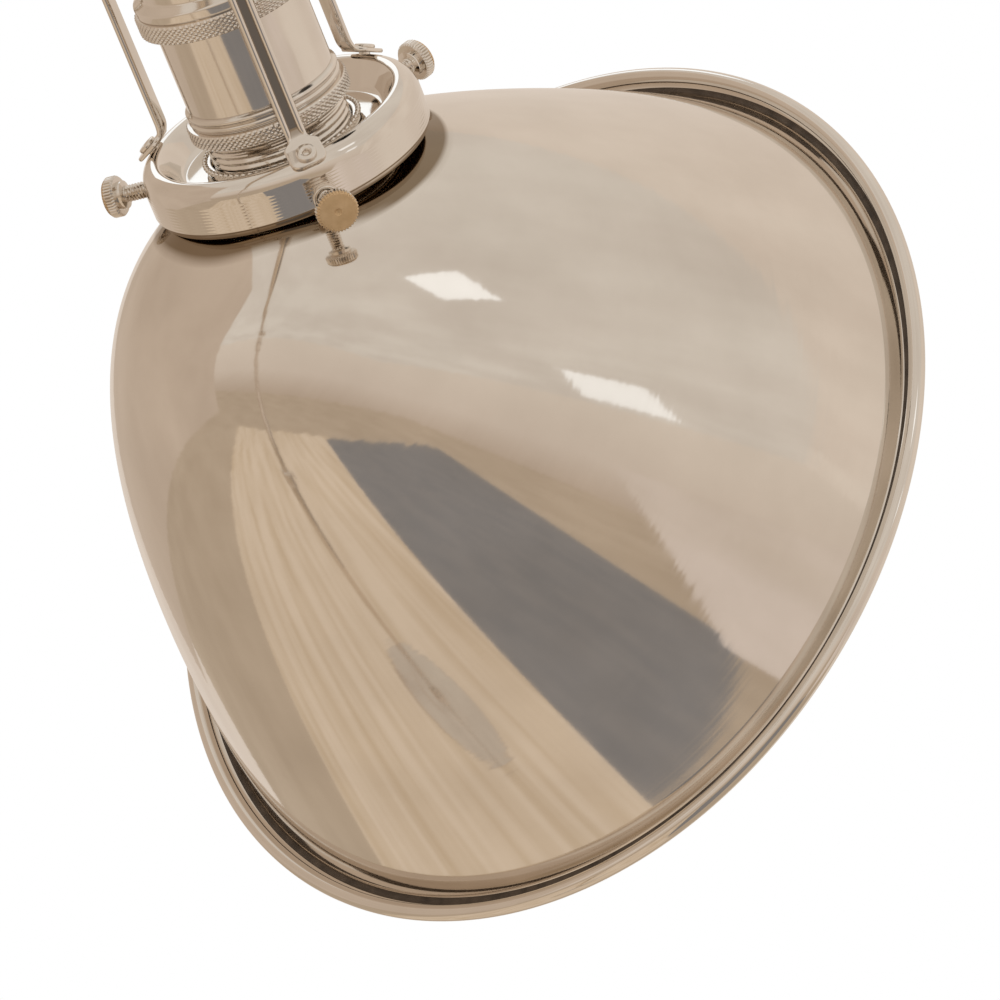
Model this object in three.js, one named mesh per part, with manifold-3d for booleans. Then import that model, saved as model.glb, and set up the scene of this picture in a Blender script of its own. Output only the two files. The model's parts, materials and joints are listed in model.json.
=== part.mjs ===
// Pharmacy floor lamp: a weighted round base, a telescoping column, a jointed arm and a
// tilting head with an angled dome shade. Millimetres, +Z up, the origin on the floor at
// the middle of the base. The arm points along +X.
import * as THREE from 'three';
import { mergeVertices } from 'three/addons/utils/BufferGeometryUtils.js';
import Module from 'manifold-3d';

const wasm = await Module();
wasm.setup();

// ---- Driving dimensions ----
const GAP = 0.3;                     // clearance between pieces that touch

const BASE_R = 140;                  // 11 in base
const BASE_TOP = 27;                 // height of the base at the column
const FELT_T = 2;

const COLUMN_R = 12.7;               // 1 in outer tube
const COLUMN_WALL = 1.4;
const COLUMN_TOP = 760;
const POLE_R = 7.94;                 // 5/8 in inner tube
const POLE_WALL = 1.2;
const POLE_BOTTOM = 500;
const ARM_R = 6.35;                  // 1/2 in arm tube
const ARM_WALL = 1.2;
const ARM_HEIGHT = 1230;             // arm axis above the floor
const POLE_TOP = ARM_HEIGHT - 50;
const LEAD_R = 2.6;                  // flexible lead inside the tubes

const KNUCKLE_X = 424;               // tilt pivot of the head, from the column's axis
const HEAD_TILT = 30;                // socket axis from the vertical, degrees
const KNUCKLE_RISE = 92;             // tilt pivot above the holder, along the socket axis

const RING_R = 34.7;                 // shade holder ring, widest
const RING_DEPTH = 11.1;
const SOCKET_R = 18.06;
const SOCKET_TOP = 33;
const THREAD_R = 17.4;               // shade-ring thread on the socket
const LEG_R = 27.5;                  // holder legs, from the socket axis
const LEG_WIDTH = 5;
const LEG_COUNT = 3;
const LEG_TURN = -5.5;                // first leg, from the way the dome faces
const HUB_Z = 60.3;                  // underside of the spider hub
const SCREW_Z = -7.3;                // axes of the thumb screws
const SCREW_R = 2.05;                // No. 8 thread

const NECK_R = 28.3;                 // 2 1/4 in shade neck
const DOME_ANGLE = 35;               // dome axis from the socket axis, degrees
const DOME_FORWARD = 35.5;           // rim centre from the socket axis
const DOME_DOWN = 122;               // rim centre below the holder
const DOME_R = 107.5;                // dome at its open edge
const DOME_H = 134;                  // dome's depth
const NOSE_BLUNT = 5;                // how far the nose of the dome is flattened
const SHEET = 1.0;                   // shade metal
const BEAD_R = 2.0;                  // rolled rim bead
const BEAD_CENTRE_R = 112.5;

// ---- Materials ----
const nickel = () => new THREE.MeshStandardMaterial({ color: 0xd9cfc2, roughness: 0.08, metalness: 1 });
const brass = () => new THREE.MeshStandardMaterial({ color: 0xc9a45a, roughness: 0.3, metalness: 1 });
const iron = () => new THREE.MeshStandardMaterial({ color: 0x3a3a3c, roughness: 0.8, metalness: 0.6 });
const felt = () => new THREE.MeshStandardMaterial({ color: 0x23231f, roughness: 1, metalness: 0 });
const phenolic = () => new THREE.MeshStandardMaterial({ color: 0x1c1a18, roughness: 0.5, metalness: 0 });
const ceramic = () => new THREE.MeshStandardMaterial({ color: 0xeeeae2, roughness: 0.35, metalness: 0 });
const glass = () => new THREE.MeshStandardMaterial({
  color: 0xf4f1ea, roughness: 0.4, metalness: 0, transparent: true, opacity: 0.6,
});
const vinyl = () => new THREE.MeshStandardMaterial({ color: 0x24211f, roughness: 0.6, metalness: 0 });

// ---- Geometry helpers ----
const radians = THREE.MathUtils.degToRad;

// Merges shared vertices, drops collapsed triangles and turns the faces outwards.
function closedBody(source) {
  const bare = source.index ? source.clone() : source;
  bare.deleteAttribute('normal');
  bare.deleteAttribute('uv');
  const merged = mergeVertices(bare, 1e-4);
  const index = merged.index.array;
  const position = merged.attributes.position;
  const a = new THREE.Vector3();
  const b = new THREE.Vector3();
  const c = new THREE.Vector3();
  const kept = [];
  let volume = 0;
  for (let i = 0; i < index.length; i += 3) {
    const corners = [index[i], index[i + 1], index[i + 2]];
    if (new Set(corners).size < 3) continue;
    kept.push(corners);
    a.fromBufferAttribute(position, corners[0]);
    b.fromBufferAttribute(position, corners[1]);
    c.fromBufferAttribute(position, corners[2]);
    volume += a.dot(b.cross(c));
  }
  const faces = volume < 0 ? kept.map(([i, j, k]) => [i, k, j]) : kept;
  merged.setIndex(faces.flat());
  return merged;
}

function manifoldOf(geometry) {
  const vertProperties = new Float32Array(geometry.attributes.position.array);
  const triVerts = new Uint32Array(geometry.index.array);
  return new wasm.Manifold(new wasm.Mesh({ numProp: 3, vertProperties, triVerts }));
}

function geometryOf(manifold) {
  const mesh = manifold.getMesh();
  const geometry = new THREE.BufferGeometry();
  geometry.setAttribute('position', new THREE.BufferAttribute(mesh.vertProperties, 3));
  geometry.setIndex(new THREE.BufferAttribute(mesh.triVerts, 1));
  return geometry;
}

function cut(body, tools) {
  return geometryOf(tools.reduce((solid, tool) => solid.subtract(manifoldOf(tool)), manifoldOf(body)));
}

function join(...bodies) {
  return geometryOf(bodies.map(manifoldOf).reduce((solid, next) => solid.add(next)));
}

// A solid of revolution about Z from a closed outline of [radius, height] points.
function turned(outline, segments = 18) {
  const points = [...outline, outline[0]].map(([r, z]) => new THREE.Vector2(r, z));
  return closedBody(new THREE.LatheGeometry(points, segments).rotateX(Math.PI / 2));
}

function tube(outer, inner, bottom, top, segments = 20) {
  return turned([[inner, bottom], [outer, bottom], [outer, top], [inner, top]], segments);
}

function rod(radius, bottom, top, segments = 12) {
  return turned([[0, bottom], [radius, bottom], [radius, top], [0, top]], segments);
}

const toX = (geometry) => geometry.rotateY(Math.PI / 2);
const toY = (geometry) => geometry.rotateX(-Math.PI / 2);
const turnZ = (geometry, degrees) => geometry.rotateZ(radians(degrees));

// A flat plate in the XZ plane, centred on y, from a THREE.Shape drawn in x and z.
function plate(shape, y, thickness, curveSegments = 10) {
  const options = { depth: thickness, bevelEnabled: false, curveSegments };
  const geometry = new THREE.ExtrudeGeometry(shape, options);
  return closedBody(geometry.rotateX(Math.PI / 2).translate(0, y + thickness / 2, 0));
}

function polygon(points) {
  return new THREE.Shape(points.map(([x, z]) => new THREE.Vector2(x, z)));
}

function lead(points, steps) {
  const section = new THREE.Shape().absarc(0, 0, LEAD_R, 0, Math.PI * 2);
  const extrudePath = new THREE.CatmullRomCurve3(points.map((p) => new THREE.Vector3(...p)));
  const options = { extrudePath, steps, bevelEnabled: false, curveSegments: 6 };
  return closedBody(new THREE.ExtrudeGeometry(section, options));
}

function add(group, name, geometry, material) {
  const mesh = new THREE.Mesh(geometry, material);
  mesh.name = name;
  group.add(mesh);
  return mesh;
}

// ---- Base and column ----
function baseCover() {
  const rim = BASE_R;
  const bottom = FELT_T + GAP;
  const shell = turned([
    [rim, bottom], [rim, 10], [rim - 2, 13.4], [rim - 9, 15], [61, 21], [58, 24.6], [22, BASE_TOP],
    [7, BASE_TOP], [7, BASE_TOP - 1.6], [22, BASE_TOP - 1.6], [57, 23], [60, 19.4], [rim - 9, 13.4],
    [rim - 3.4, 12], [rim - 1.6, 9], [rim - 1.6, bottom],
  ], 40);
  return cut(shell, [toX(rod(6.3, -rim - 4, -rim + 10, 12)).translate(0, 0, 8.6)]);
}

function baseWeight() {
  const disc = turned([
    [8, 17.6], [18, 17.6], [18, 3], [127, 3], [127, 10], [124, 12.4], [58, 18.4], [50, 19.6],
    [20, 25], [8, 25],
  ], 32);
  const leadSlot = new THREE.BoxGeometry(125, 9, 9.6).translate(-72, 0, 6);
  return cut(disc, [closedBody(leadSlot)]);
}

function cordBushing() {
  const x = BASE_R;
  const sleeve = turned([
    [LEAD_R + 0.4, -x - 5], [6, -x - 5], [8, -x - 3], [8, -x - 0.4], [5.9, -x - 0.4], [5.9, -x + 3.5],
    [LEAD_R + 0.4, -x + 3.5],
  ], 14);
  return toX(sleeve).translate(0, 0, 8.6);
}

function addBase(group) {
  add(group, 'base_cover', baseCover(), nickel());
  add(group, 'base_weight', baseWeight(), iron());
  add(group, 'base_felt', rod(BASE_R - 4, 0, FELT_T, 40), felt());
  add(group, 'cord_bushing', cordBushing(), phenolic());
  const bend = [[-BASE_R - 4, 0, 8.6], [-60, 0, 6.4], [-24, 0, 5.2], [-8, 0, 5.4],
    [-1.6, 0, 9], [0, 0, 16], [0, 0, 30], [0, 0, 60], [0, 0, 120]];
  add(group, 'base_lead', lead(bend, 26), vinyl());
  add(group, 'base_lock_nut', cut(rod(13, 13.2, 17.2, 6), [rod(6.4, 12, 19, 20)]), brass());
  add(group, 'column_nipple', tube(6, 4.2, 12.4, 44), brass());
  add(group, 'column_foot', turned([
    [6.4, BASE_TOP + GAP], [24, BASE_TOP + GAP], [25, 29], [24.4, 31], [18, 35.6], [16.4, 45],
    [18, 46.6], [18, 48.8], [16.4, 50.4], [16.2, 57], [15, 58.4], [13, 58.4], [13, 45], [6.4, 45],
  ], 24), nickel());
  add(group, 'outer_column', tube(COLUMN_R, COLUMN_R - COLUMN_WALL, 45.4, COLUMN_TOP, 24), nickel());
}

const COLLAR_SCREW_Z = COLUMN_TOP + 11;

function addCollar(group) {
  const top = COLUMN_TOP + 22;
  const bore = POLE_R + 0.25;
  const collar = turned([
    [13, COLUMN_TOP - 16], [16.4, COLUMN_TOP - 16], [16.4, COLUMN_TOP - 9], [15.4, COLUMN_TOP - 7],
    [15.4, COLUMN_TOP + 2], [17, COLUMN_TOP + 4], [17, top - 4], [14, top - 1], [11, top],
    [bore, top], [bore, COLUMN_TOP + 0.4], [13, COLUMN_TOP + 0.4],
  ], 24);
  const screwHole = toY(rod(2.4, -24, -6)).translate(0, 0, COLLAR_SCREW_Z);
  add(group, 'column_collar', cut(collar, [screwHole]), nickel());
}

// A knob or screw along its own Z axis: a shank with a round fluted head on top.
function fluted(radius, bottom, top, flutes, depth) {
  const shape = new THREE.Shape();
  const steps = flutes * 2;
  for (let i = 0; i < steps; i += 1) {
    const angle = (i / steps) * Math.PI * 2;
    const r = i % 2 ? radius - depth : radius;
    if (i === 0) shape.moveTo(r, 0);
    else shape.lineTo(r * Math.cos(angle), r * Math.sin(angle));
  }
  shape.closePath();
  const geometry = new THREE.ExtrudeGeometry(shape, { depth: top - bottom, bevelEnabled: false });
  return closedBody(geometry.translate(0, 0, bottom));
}

function columnScrew() {
  const shank = rod(SCREW_R, POLE_R + 0.4, 22);
  const shoulder = rod(4.5, 18, 22.5);
  const screw = join(shank, shoulder, fluted(8.5, 22, 28, 16, 0.7));
  return screw.rotateX(Math.PI / 2).translate(0, 0, COLLAR_SCREW_Z);
}

// ---- Pole and its top swivel ----
function addPole(group) {
  add(group, 'inner_pole', tube(POLE_R, POLE_R - POLE_WALL, POLE_BOTTOM, POLE_TOP), nickel());
  const bushOuter = COLUMN_R - COLUMN_WALL - 0.25;
  add(group, 'pole_bush', tube(bushOuter, POLE_R + 0.25, POLE_BOTTOM + 2, POLE_BOTTOM + 24), phenolic());
  const route = [[0, 0, POLE_BOTTOM + 6], [0, 0, 700], [0, 0, 900], [0, 0, POLE_TOP - 4]];
  add(group, 'pole_lead', lead(route, 12), vinyl());
  const foot = POLE_TOP - 18;
  add(group, 'swivel_post', turned([
    [POLE_R + GAP, foot], [11.6, foot], [11.6, foot + 6], [10.4, foot + 7.6],
    [10.4, POLE_TOP + 5], [12, POLE_TOP + 7], [12, POLE_TOP + 12], [10, POLE_TOP + 13.6],
    [5, POLE_TOP + 13.6], [5, POLE_TOP + 27], [LEAD_R + 0.6, POLE_TOP + 27], [LEAD_R + 0.6, POLE_TOP + 4],
    [6.4, POLE_TOP + GAP], [POLE_R + GAP, POLE_TOP + GAP],
  ], 20), nickel());
}

// A fork along its own +Z axis: a round body with two ears around a pivot along Y.
function fork({ bodyR, bodyBottom, bodyTop, boreR, boreTop, earR, slot, earT, pivotZ, pinR }) {
  const body = rod(bodyR, bodyBottom, bodyTop, 20);
  const outline = new THREE.Shape();
  outline.moveTo(-earR, bodyTop - 2);
  outline.lineTo(earR, bodyTop - 2);
  outline.lineTo(earR, pivotZ);
  outline.absarc(0, pivotZ, earR, 0, Math.PI);
  outline.lineTo(-earR, bodyTop - 2);
  const ears = [1, -1].map((side) => plate(outline, side * (slot + earT) / 2, earT, 8));
  const bore = rod(boreR, bodyBottom - 1, boreTop, 16);
  const pinHole = toY(rod(pinR, -30, 30)).translate(0, 0, pivotZ);
  return cut(join(body, ...ears), [bore, pinHole]);
}

const ARM_FORK = { slot: 11, earT: 4, pinR: 3.3 };
const KNUCKLE_FORK = { slot: 7.2, earT: 3.4, pinR: 2.8 };

function armFork() {
  return fork({
    ...ARM_FORK, bodyR: 11, bodyBottom: POLE_TOP + 14, bodyTop: ARM_HEIGHT - 16, boreR: 5.3,
    boreTop: POLE_TOP + 28, earR: 9.4, pivotZ: ARM_HEIGHT,
  });
}

// A pivot bolt along Y: a domed head at +Y, the plain shank, and a threaded tail at -Y.
function pivotBolt(pinR, headR, grip) {
  const half = grip / 2;
  return turned([
    [0, -half - 9], [pinR - 0.5, -half - 9], [pinR - 0.5, -half - 0.2], [pinR - 0.3, half + 0.3],
    [headR, half + 0.3], [headR, half + 2.2], [headR * 0.8, half + 3.6], [0, half + 4.2],
  ], 14);
}

function pivotKnob(pinR, knobR, grip) {
  const face = grip / 2 + 0.4;
  const body = join(rod(knobR * 0.62, face, face + 3.4), fluted(knobR, face + 3, face + 10.6, 14, 0.6));
  return cut(body, [rod(pinR - 0.2, face - 1, face + 9.2)]).rotateX(Math.PI / 2);
}

// ---- Arm ----
const ARM_END = KNUCKLE_X - 28;

function armTongue() {
  const eye = new THREE.Shape();
  eye.moveTo(20, -5.4);
  eye.lineTo(20, 5.4);
  eye.lineTo(0, 8.6);
  eye.absarc(0, 0, 8.6, Math.PI / 2, Math.PI * 1.5);
  eye.lineTo(20, -5.4);
  const blade = plate(eye, 0, 10, 10);
  const socket = toX(turned([
    [0, 14], [7, 14], [8.4, 15.4], [8.4, 34], [7.6, 35], [0, 35],
  ], 20));
  const armBore = toX(rod(ARM_R + GAP, 20, 40, 20));
  const pinHole = toY(rod(ARM_FORK.pinR, -12, 12));
  return cut(join(blade, socket), [armBore, pinHole]).translate(0, 0, ARM_HEIGHT);
}

function armEndCollar() {
  return toX(turned([
    [ARM_R + GAP, ARM_END - 16], [9.2, ARM_END - 16], [9.2, ARM_END - 12],
    [8.6, ARM_END - 11], [8.6, ARM_END + 2.4], [7.6, ARM_END + 3.6], [4.4, ARM_END + 3.6],
    [4.4, ARM_END + 13], [LEAD_R + 0.5, ARM_END + 13], [LEAD_R + 0.5, ARM_END + GAP],
    [ARM_R + GAP, ARM_END + GAP],
  ], 20)).translate(0, 0, ARM_HEIGHT);
}

function addArm(group) {
  add(group, 'arm_tongue', armTongue(), nickel());
  const bar = toX(tube(ARM_R, ARM_R - ARM_WALL, 20.4, ARM_END));
  add(group, 'arm_tube', bar.translate(0, 0, ARM_HEIGHT), nickel());
  const route = [24, 150, 270, ARM_END - 4].map((x) => [x, 0, ARM_HEIGHT]);
  add(group, 'arm_lead', lead(route, 9), vinyl());
  add(group, 'arm_end_collar', armEndCollar(), nickel());
}

function knuckleFork() {
  const length = KNUCKLE_X - ARM_END - 4;
  return toX(fork({
    ...KNUCKLE_FORK, bodyR: 8.6, bodyBottom: -length, bodyTop: -10, boreR: 4.7, boreTop: -length + 10,
    earR: 7.8, pivotZ: 0,
  })).translate(KNUCKLE_X, 0, ARM_HEIGHT);
}

// ---- Head: everything below is drawn about the socket axis, which is the head's own Z.
// The holder's inner lip is at z = 0, the arm side is up, and +X is the side the dome faces. ----
const legAngle = (i) => LEG_TURN + (i * 360) / LEG_COUNT;

function headCoupling() {
  const z = KNUCKLE_RISE;
  const eye = new THREE.Shape();
  eye.moveTo(-4.5, 70);
  eye.lineTo(4.5, 70);
  eye.lineTo(4.5, z - 5.4);
  eye.absarc(0, z, 7, -Math.PI / 4, Math.PI * 1.25);
  eye.lineTo(-4.5, 70);
  const foot = turned([
    [0, 62.6], [8, 62.6], [8.6, 63.6], [8.6, 66.4], [7.6, 67.4], [7.6, 69], [6, 72], [0, 72],
  ], 20);
  const nippleBore = rod(5.1, 60, 69.4);
  const pinHole = toY(rod(KNUCKLE_FORK.pinR, -10, 10)).translate(0, 0, z);
  return cut(join(foot, plate(eye, 0, 6.6, 10)), [nippleBore, pinHole]);
}

const RIVET_R = 1.2;
const HUB_RIVET_AT = 13;

function spiderHub() {
  const disc = tube(16, 5.1, HUB_Z, HUB_Z + 2, 24);
  const holes = [];
  for (let i = 0; i < LEG_COUNT; i += 1) {
    const hole = rod(RIVET_R + GAP, HUB_Z - 1, HUB_Z + 4, 10).translate(HUB_RIVET_AT, 0, 0);
    holes.push(turnZ(hole, legAngle(i)));
  }
  return cut(disc, holes);
}

// A leg's foot lies on the outer slope of the holder ring's crown.
const FOOT = { r: 32, z: 2.1, slope: 31 };
const footFrame = (geometry) => geometry.rotateY(radians(FOOT.slope)).translate(FOOT.r, 0, FOOT.z);

function holderLeg(angle) {
  const half = 0.8;
  const top = HUB_Z + 2 + GAP;
  const inner = LEG_R - half;
  const outer = LEG_R + half;
  const strip = polygon([
    [10, top], [inner - 2, top], [inner, top - 2], [inner, 9.6], [inner + 0.4, 6.8], [inner + 1.2, 5],
    [outer + 0.4, 5], [outer + 0.3, 7.4], [outer, 10], [outer, top - 1.6], [outer - 3.2, top + 1.6],
    [10, top + 1.6],
  ]);
  const foot = footFrame(closedBody(new THREE.BoxGeometry(8.4, 8.8, 1)).translate(-1.1, 0, 0.5 + GAP));
  const footHole = footFrame(rod(RIVET_R + 0.5, -1, 3, 10));
  const hubHole = rod(RIVET_R + GAP, top - 1, top + 4, 10).translate(HUB_RIVET_AT, 0, 0);
  return turnZ(cut(join(plate(strip, 0, LEG_WIDTH), foot), [footHole, hubHole]), angle);
}

function hubRivet(angle) {
  const rivet = turned([
    [0, HUB_Z - 1.1], [2.2, HUB_Z - 1.1], [2.2, HUB_Z - GAP], [RIVET_R, HUB_Z - GAP],
    [RIVET_R, HUB_Z + 4.2], [2.4, HUB_Z + 4.2], [1.8, HUB_Z + 5.2], [0, HUB_Z + 5.4],
  ], 10);
  return turnZ(rivet.translate(HUB_RIVET_AT, 0, 0), angle);
}

// An eyelet rivet: a rolled head with a hole down its middle.
function footRivet(angle) {
  const rivet = turned([
    [0.7, -2.2], [1.35, -2.2], [1.35, 1.6], [2.6, 1.6], [2.4, 2.4], [0.7, 2.4],
  ], 10);
  return turnZ(footFrame(rivet), angle);
}

function holderRing() {
  const ring = turned([
    [33.2, -RING_DEPTH], [33.9, -10.6], [34.4, -9.4], [RING_R, -7], [RING_R, -2.4], [34, 0.2], [32.7, 1.7],
    [31, 2.5], [29.6, 2.2], [28.2, 0.4], [25.4, -4.2], [18.9, -4.2], [18.9, -5.3], [26, -5.3],
    [29, -0.4], [30, 1.1], [31, 1.4], [32, 0.8], [33, -0.3], [33.7, -2.6], [33.7, -7], [33.4, -9.4],
    [32.9, -10.4],
  ], 40);
  const bosses = [];
  const holes = [];
  for (let i = 0; i < LEG_COUNT; i += 1) {
    const boss = toX(rod(3.1, 34, 36.8, 12));
    bosses.push(turnZ(boss.translate(0, 0, SCREW_Z), legAngle(i)));
    holes.push(turnZ(toX(rod(SCREW_R + GAP, 30, 40)).translate(0, 0, SCREW_Z), legAngle(i)));
    holes.push(turnZ(footFrame(rod(RIVET_R + 0.5, -3.4, 1, 10)), legAngle(i)));
  }
  return cut(join(ring, ...bosses), holes);
}

function thumbScrew(angle) {
  const shank = rod(SCREW_R, NECK_R + 0.4, 45, 10);
  const shoulder = rod(3.4, 43, 44.4);
  const screw = join(shank, shoulder, fluted(5, 44.2, 47.5, 16, 0.35));
  return turnZ(toX(screw).translate(0, 0, SCREW_Z), angle);
}

function socketShell() {
  return turned([
    [16.2, -15], [THREAD_R, -15], [THREAD_R, 4.4], [19.6, 4.4], [20, 5], [20, 7.8], [19.4, 8.4],
    [18.5, 8.6], [18.5, 12], [SOCKET_R, 12.3], [SOCKET_R, SOCKET_TOP], [16.2, SOCKET_TOP],
  ], 28);
}

const SWITCH_Z = 46;
const SWITCH_ANGLE = -60;

function socketCap() {
  const base = SOCKET_TOP + GAP;
  const cap = turned([
    [17, base], [21.3, base], [21.3, 37.8], [20.6, 38.4], [20.6, 40.4],
    [18.4, 42], [18.2, 50], [15, 54.4], [8, 57], [8, HUB_Z - GAP],
    [5.1, HUB_Z - GAP], [5.1, 55], [14, 53], [17, 49.4],
  ], 28);
  const stemHole = turnZ(toX(rod(2.6, 10, 24)).translate(0, 0, SWITCH_Z), SWITCH_ANGLE);
  return cut(cap, [stemHole]);
}

function switchKnob() {
  const stem = rod(2, 13.6, 24);
  const knob = join(stem, rod(3.6, 19.4, 23), fluted(6.2, 22.6, 31.4, 12, 0.6));
  return turnZ(toX(knob).translate(0, 0, SWITCH_Z), SWITCH_ANGLE);
}

function bulbGlass() {
  const wall = 1.2;
  const outer = [[13, -14.6], [13.4, -22], [17, -34], [28, -58], [30, -70], [27.6, -82],
    [18, -95.6], [0, -100]];
  const inner = [[0, -100 + wall], [17.4, -94.4], [26.4, -81.6], [30 - wall, -70], [26.8, -58.6],
    [16, -34.8], [12.2, -22.4], [11.8, -14.6]];
  return turned([...outer, ...inner], 20);
}

function addSocket(group) {
  add(group, 'socket_cap', socketCap(), nickel());
  add(group, 'socket_shell', socketShell(), nickel());
  add(group, 'socket_insulator', turned([
    [14.4, -12], [15.8, -12], [15.8, 31], [0, 31], [0, 21], [3, 21], [3, 18.4], [14.4, 18.4],
  ], 20), ceramic());
  add(group, 'screw_shell', turned([
    [13.3, -10], [14, -10], [14, 18], [5, 18], [5, 17.4], [13.3, 17.4],
  ], 20), brass());
  add(group, 'centre_contact', rod(2.6, 16, 20.6, 10), brass());
  add(group, 'switch_body', rod(13, 34, 50, 16), phenolic());
  add(group, 'bulb_cap', turned([
    [0, 15.6], [4, 15.6], [4.6, 14.6], [12.9, 12], [12.9, -14.2], [0, -14.2],
  ], 20), brass());
  add(group, 'bulb_glass', bulbGlass(), glass());
}

function addHolder(group) {
  add(group, 'head_coupling', headCoupling(), nickel());
  add(group, 'head_nipple', tube(4.8, 3, 55.6, 69, 16), brass());
  add(group, 'spider_hub', spiderHub(), nickel());
  add(group, 'holder_ring', holderRing(), nickel());
  add(group, 'upper_ring_nut', tube(20.2, THREAD_R + 0.3, -3.9, -1.5, 28), nickel());
  add(group, 'lower_ring_nut', tube(22, THREAD_R + 0.3, -8.7, -5.6, 24), brass());
  for (let i = 0; i < LEG_COUNT; i += 1) {
    add(group, `holder_leg_${i + 1}`, holderLeg(legAngle(i)), nickel());
    add(group, `hub_rivet_${i + 1}`, hubRivet(legAngle(i)), nickel());
    add(group, `foot_rivet_${i + 1}`, footRivet(legAngle(i)), nickel());
    add(group, `thumb_screw_${i + 1}`, thumbScrew(legAngle(i)), nickel());
  }
}

// ---- Shade: a blunt paraboloid of revolution about the dome axis, with a round neck about
// the socket axis. Dome places are (along the axis behind the rim plane, across, sideways). ----
const DOME_COS = Math.cos(radians(DOME_ANGLE));
const DOME_SIN = Math.sin(radians(DOME_ANGLE));

function domeToHead(depth, across, side) {
  return new THREE.Vector3(
    DOME_FORWARD - depth * DOME_SIN + across * DOME_COS,
    side,
    -DOME_DOWN + depth * DOME_COS + across * DOME_SIN,
  );
}

function domeDepth(radius) {
  return DOME_H - Math.hypot(NOSE_BLUNT, DOME_H * (radius / DOME_R) ** 2);
}

function domePoint(across, side, inset) {
  const radius = Math.hypot(across, side);
  const step = 0.01;
  const slope = (domeDepth(radius) - domeDepth(radius + step)) / step;
  const scale = inset / Math.hypot(1, slope);
  const shrink = 1 - (scale * slope) / radius;
  return domeToHead(domeDepth(radius) - scale, across * shrink, side * shrink);
}

// The point of the dome straight below a place on a circle round the socket axis.
function domeBelow(radius, angle) {
  const x = radius * Math.cos(angle) - DOME_FORWARD;
  const side = radius * Math.sin(angle);
  let high = 20;
  let low = -60;
  for (let i = 0; i < 40; i += 1) {
    const z = (high + low) / 2;
    const depth = (z + DOME_DOWN) * DOME_COS - x * DOME_SIN;
    const across = x * DOME_COS + (z + DOME_DOWN) * DOME_SIN;
    if (depth > domeDepth(Math.hypot(across, side))) high = z;
    else low = z;
  }
  return { across: x * DOME_COS + (low + DOME_DOWN) * DOME_SIN, side, z: low };
}

function shade() {
  const around = 48;
  const bands = 9;
  const circle = (radius, z) => (angle) => (
    new THREE.Vector3(radius * Math.cos(angle), radius * Math.sin(angle), z)
  );
  const domeBand = (part, inset) => (angle) => {
    const start = domeBelow(NECK_R, angle);
    const across = THREE.MathUtils.lerp(start.across, DOME_R * Math.cos(angle), part);
    const side = THREE.MathUtils.lerp(start.side, DOME_R * Math.sin(angle), part);
    return domePoint(across, side, inset);
  };
  const rimRing = (radius, depth) => (angle) => (
    domeToHead(depth, radius * Math.cos(angle), radius * Math.sin(angle))
  );
  const stations = [
    circle(NECK_R - SHEET, -4.2), circle(29.4, -4.2), circle(29.4, -4.9), circle(NECK_R, -5),
  ];
  for (let i = 0; i <= bands; i += 1) stations.push(domeBand(i / bands, 0));
  stations.push(rimRing(BEAD_CENTRE_R - BEAD_R - 0.1, 0));
  for (let i = 0; i <= 6; i += 1) {
    const turn = Math.PI - (i / 6) * Math.PI * 1.5;
    stations.push(rimRing(BEAD_CENTRE_R + BEAD_R * Math.cos(turn), 0.8 + BEAD_R * Math.sin(turn)));
  }
  stations.push(rimRing(DOME_R - 0.4, -1.1));
  for (let i = bands - 1; i >= 1; i -= 1) stations.push(domeBand(i / bands, SHEET));
  stations.push((angle) => {
    const below = domeBelow(NECK_R, angle);
    return circle(NECK_R - SHEET, below.z - 0.9)(angle);
  });

  const positions = [];
  const index = [];
  stations.forEach((station, row) => {
    const next = (row + 1) % stations.length;
    for (let i = 0; i < around; i += 1) {
      positions.push(...station((i / around) * Math.PI * 2).toArray());
      const j = (i + 1) % around;
      const corners = [row * around + i, row * around + j, next * around + j, next * around + i];
      index.push(corners[0], corners[1], corners[2], corners[0], corners[2], corners[3]);
    }
  });
  const geometry = new THREE.BufferGeometry();
  geometry.setAttribute('position', new THREE.Float32BufferAttribute(positions, 3));
  geometry.setIndex(index);
  return closedBody(geometry);
}

// ---- Assembly ----
const lamp = new THREE.Group();
addBase(lamp);
addCollar(lamp);
add(lamp, 'column_screw', columnScrew(), nickel());
addPole(lamp);
add(lamp, 'arm_fork', armFork(), nickel());
const armGrip = ARM_FORK.slot + 2 * ARM_FORK.earT;
add(lamp, 'arm_bolt', toY(pivotBolt(ARM_FORK.pinR, 7, armGrip)).translate(0, 0, ARM_HEIGHT), nickel());
add(lamp, 'arm_knob', pivotKnob(ARM_FORK.pinR, 11, armGrip).translate(0, 0, ARM_HEIGHT), nickel());
addArm(lamp);
add(lamp, 'knuckle_fork', knuckleFork(), nickel());
const knuckleGrip = KNUCKLE_FORK.slot + 2 * KNUCKLE_FORK.earT;
const knuckleAt = [KNUCKLE_X, 0, ARM_HEIGHT];
const knuckleBolt = toY(pivotBolt(KNUCKLE_FORK.pinR, 5.4, knuckleGrip));
add(lamp, 'knuckle_bolt', knuckleBolt.translate(...knuckleAt), nickel());
const knuckleKnob = pivotKnob(KNUCKLE_FORK.pinR, 7.4, knuckleGrip);
add(lamp, 'knuckle_knob', knuckleKnob.translate(...knuckleAt), nickel());

const head = new THREE.Group();
const tilt = radians(HEAD_TILT);
head.position.set(
  KNUCKLE_X + KNUCKLE_RISE * Math.sin(tilt),
  0,
  ARM_HEIGHT - KNUCKLE_RISE * Math.cos(tilt),
);
head.rotation.y = -tilt;
addHolder(head);
addSocket(head);
add(head, 'switch_knob', switchKnob(), phenolic());
add(head, 'shade', shade(), nickel());
lamp.add(head);

export default lamp;
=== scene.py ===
"""A polished nickel pharmacy floor lamp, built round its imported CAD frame.

Lengths are millimetres while a shape is drawn and metres once it is a Blender object.
"""
import json
import math

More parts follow.
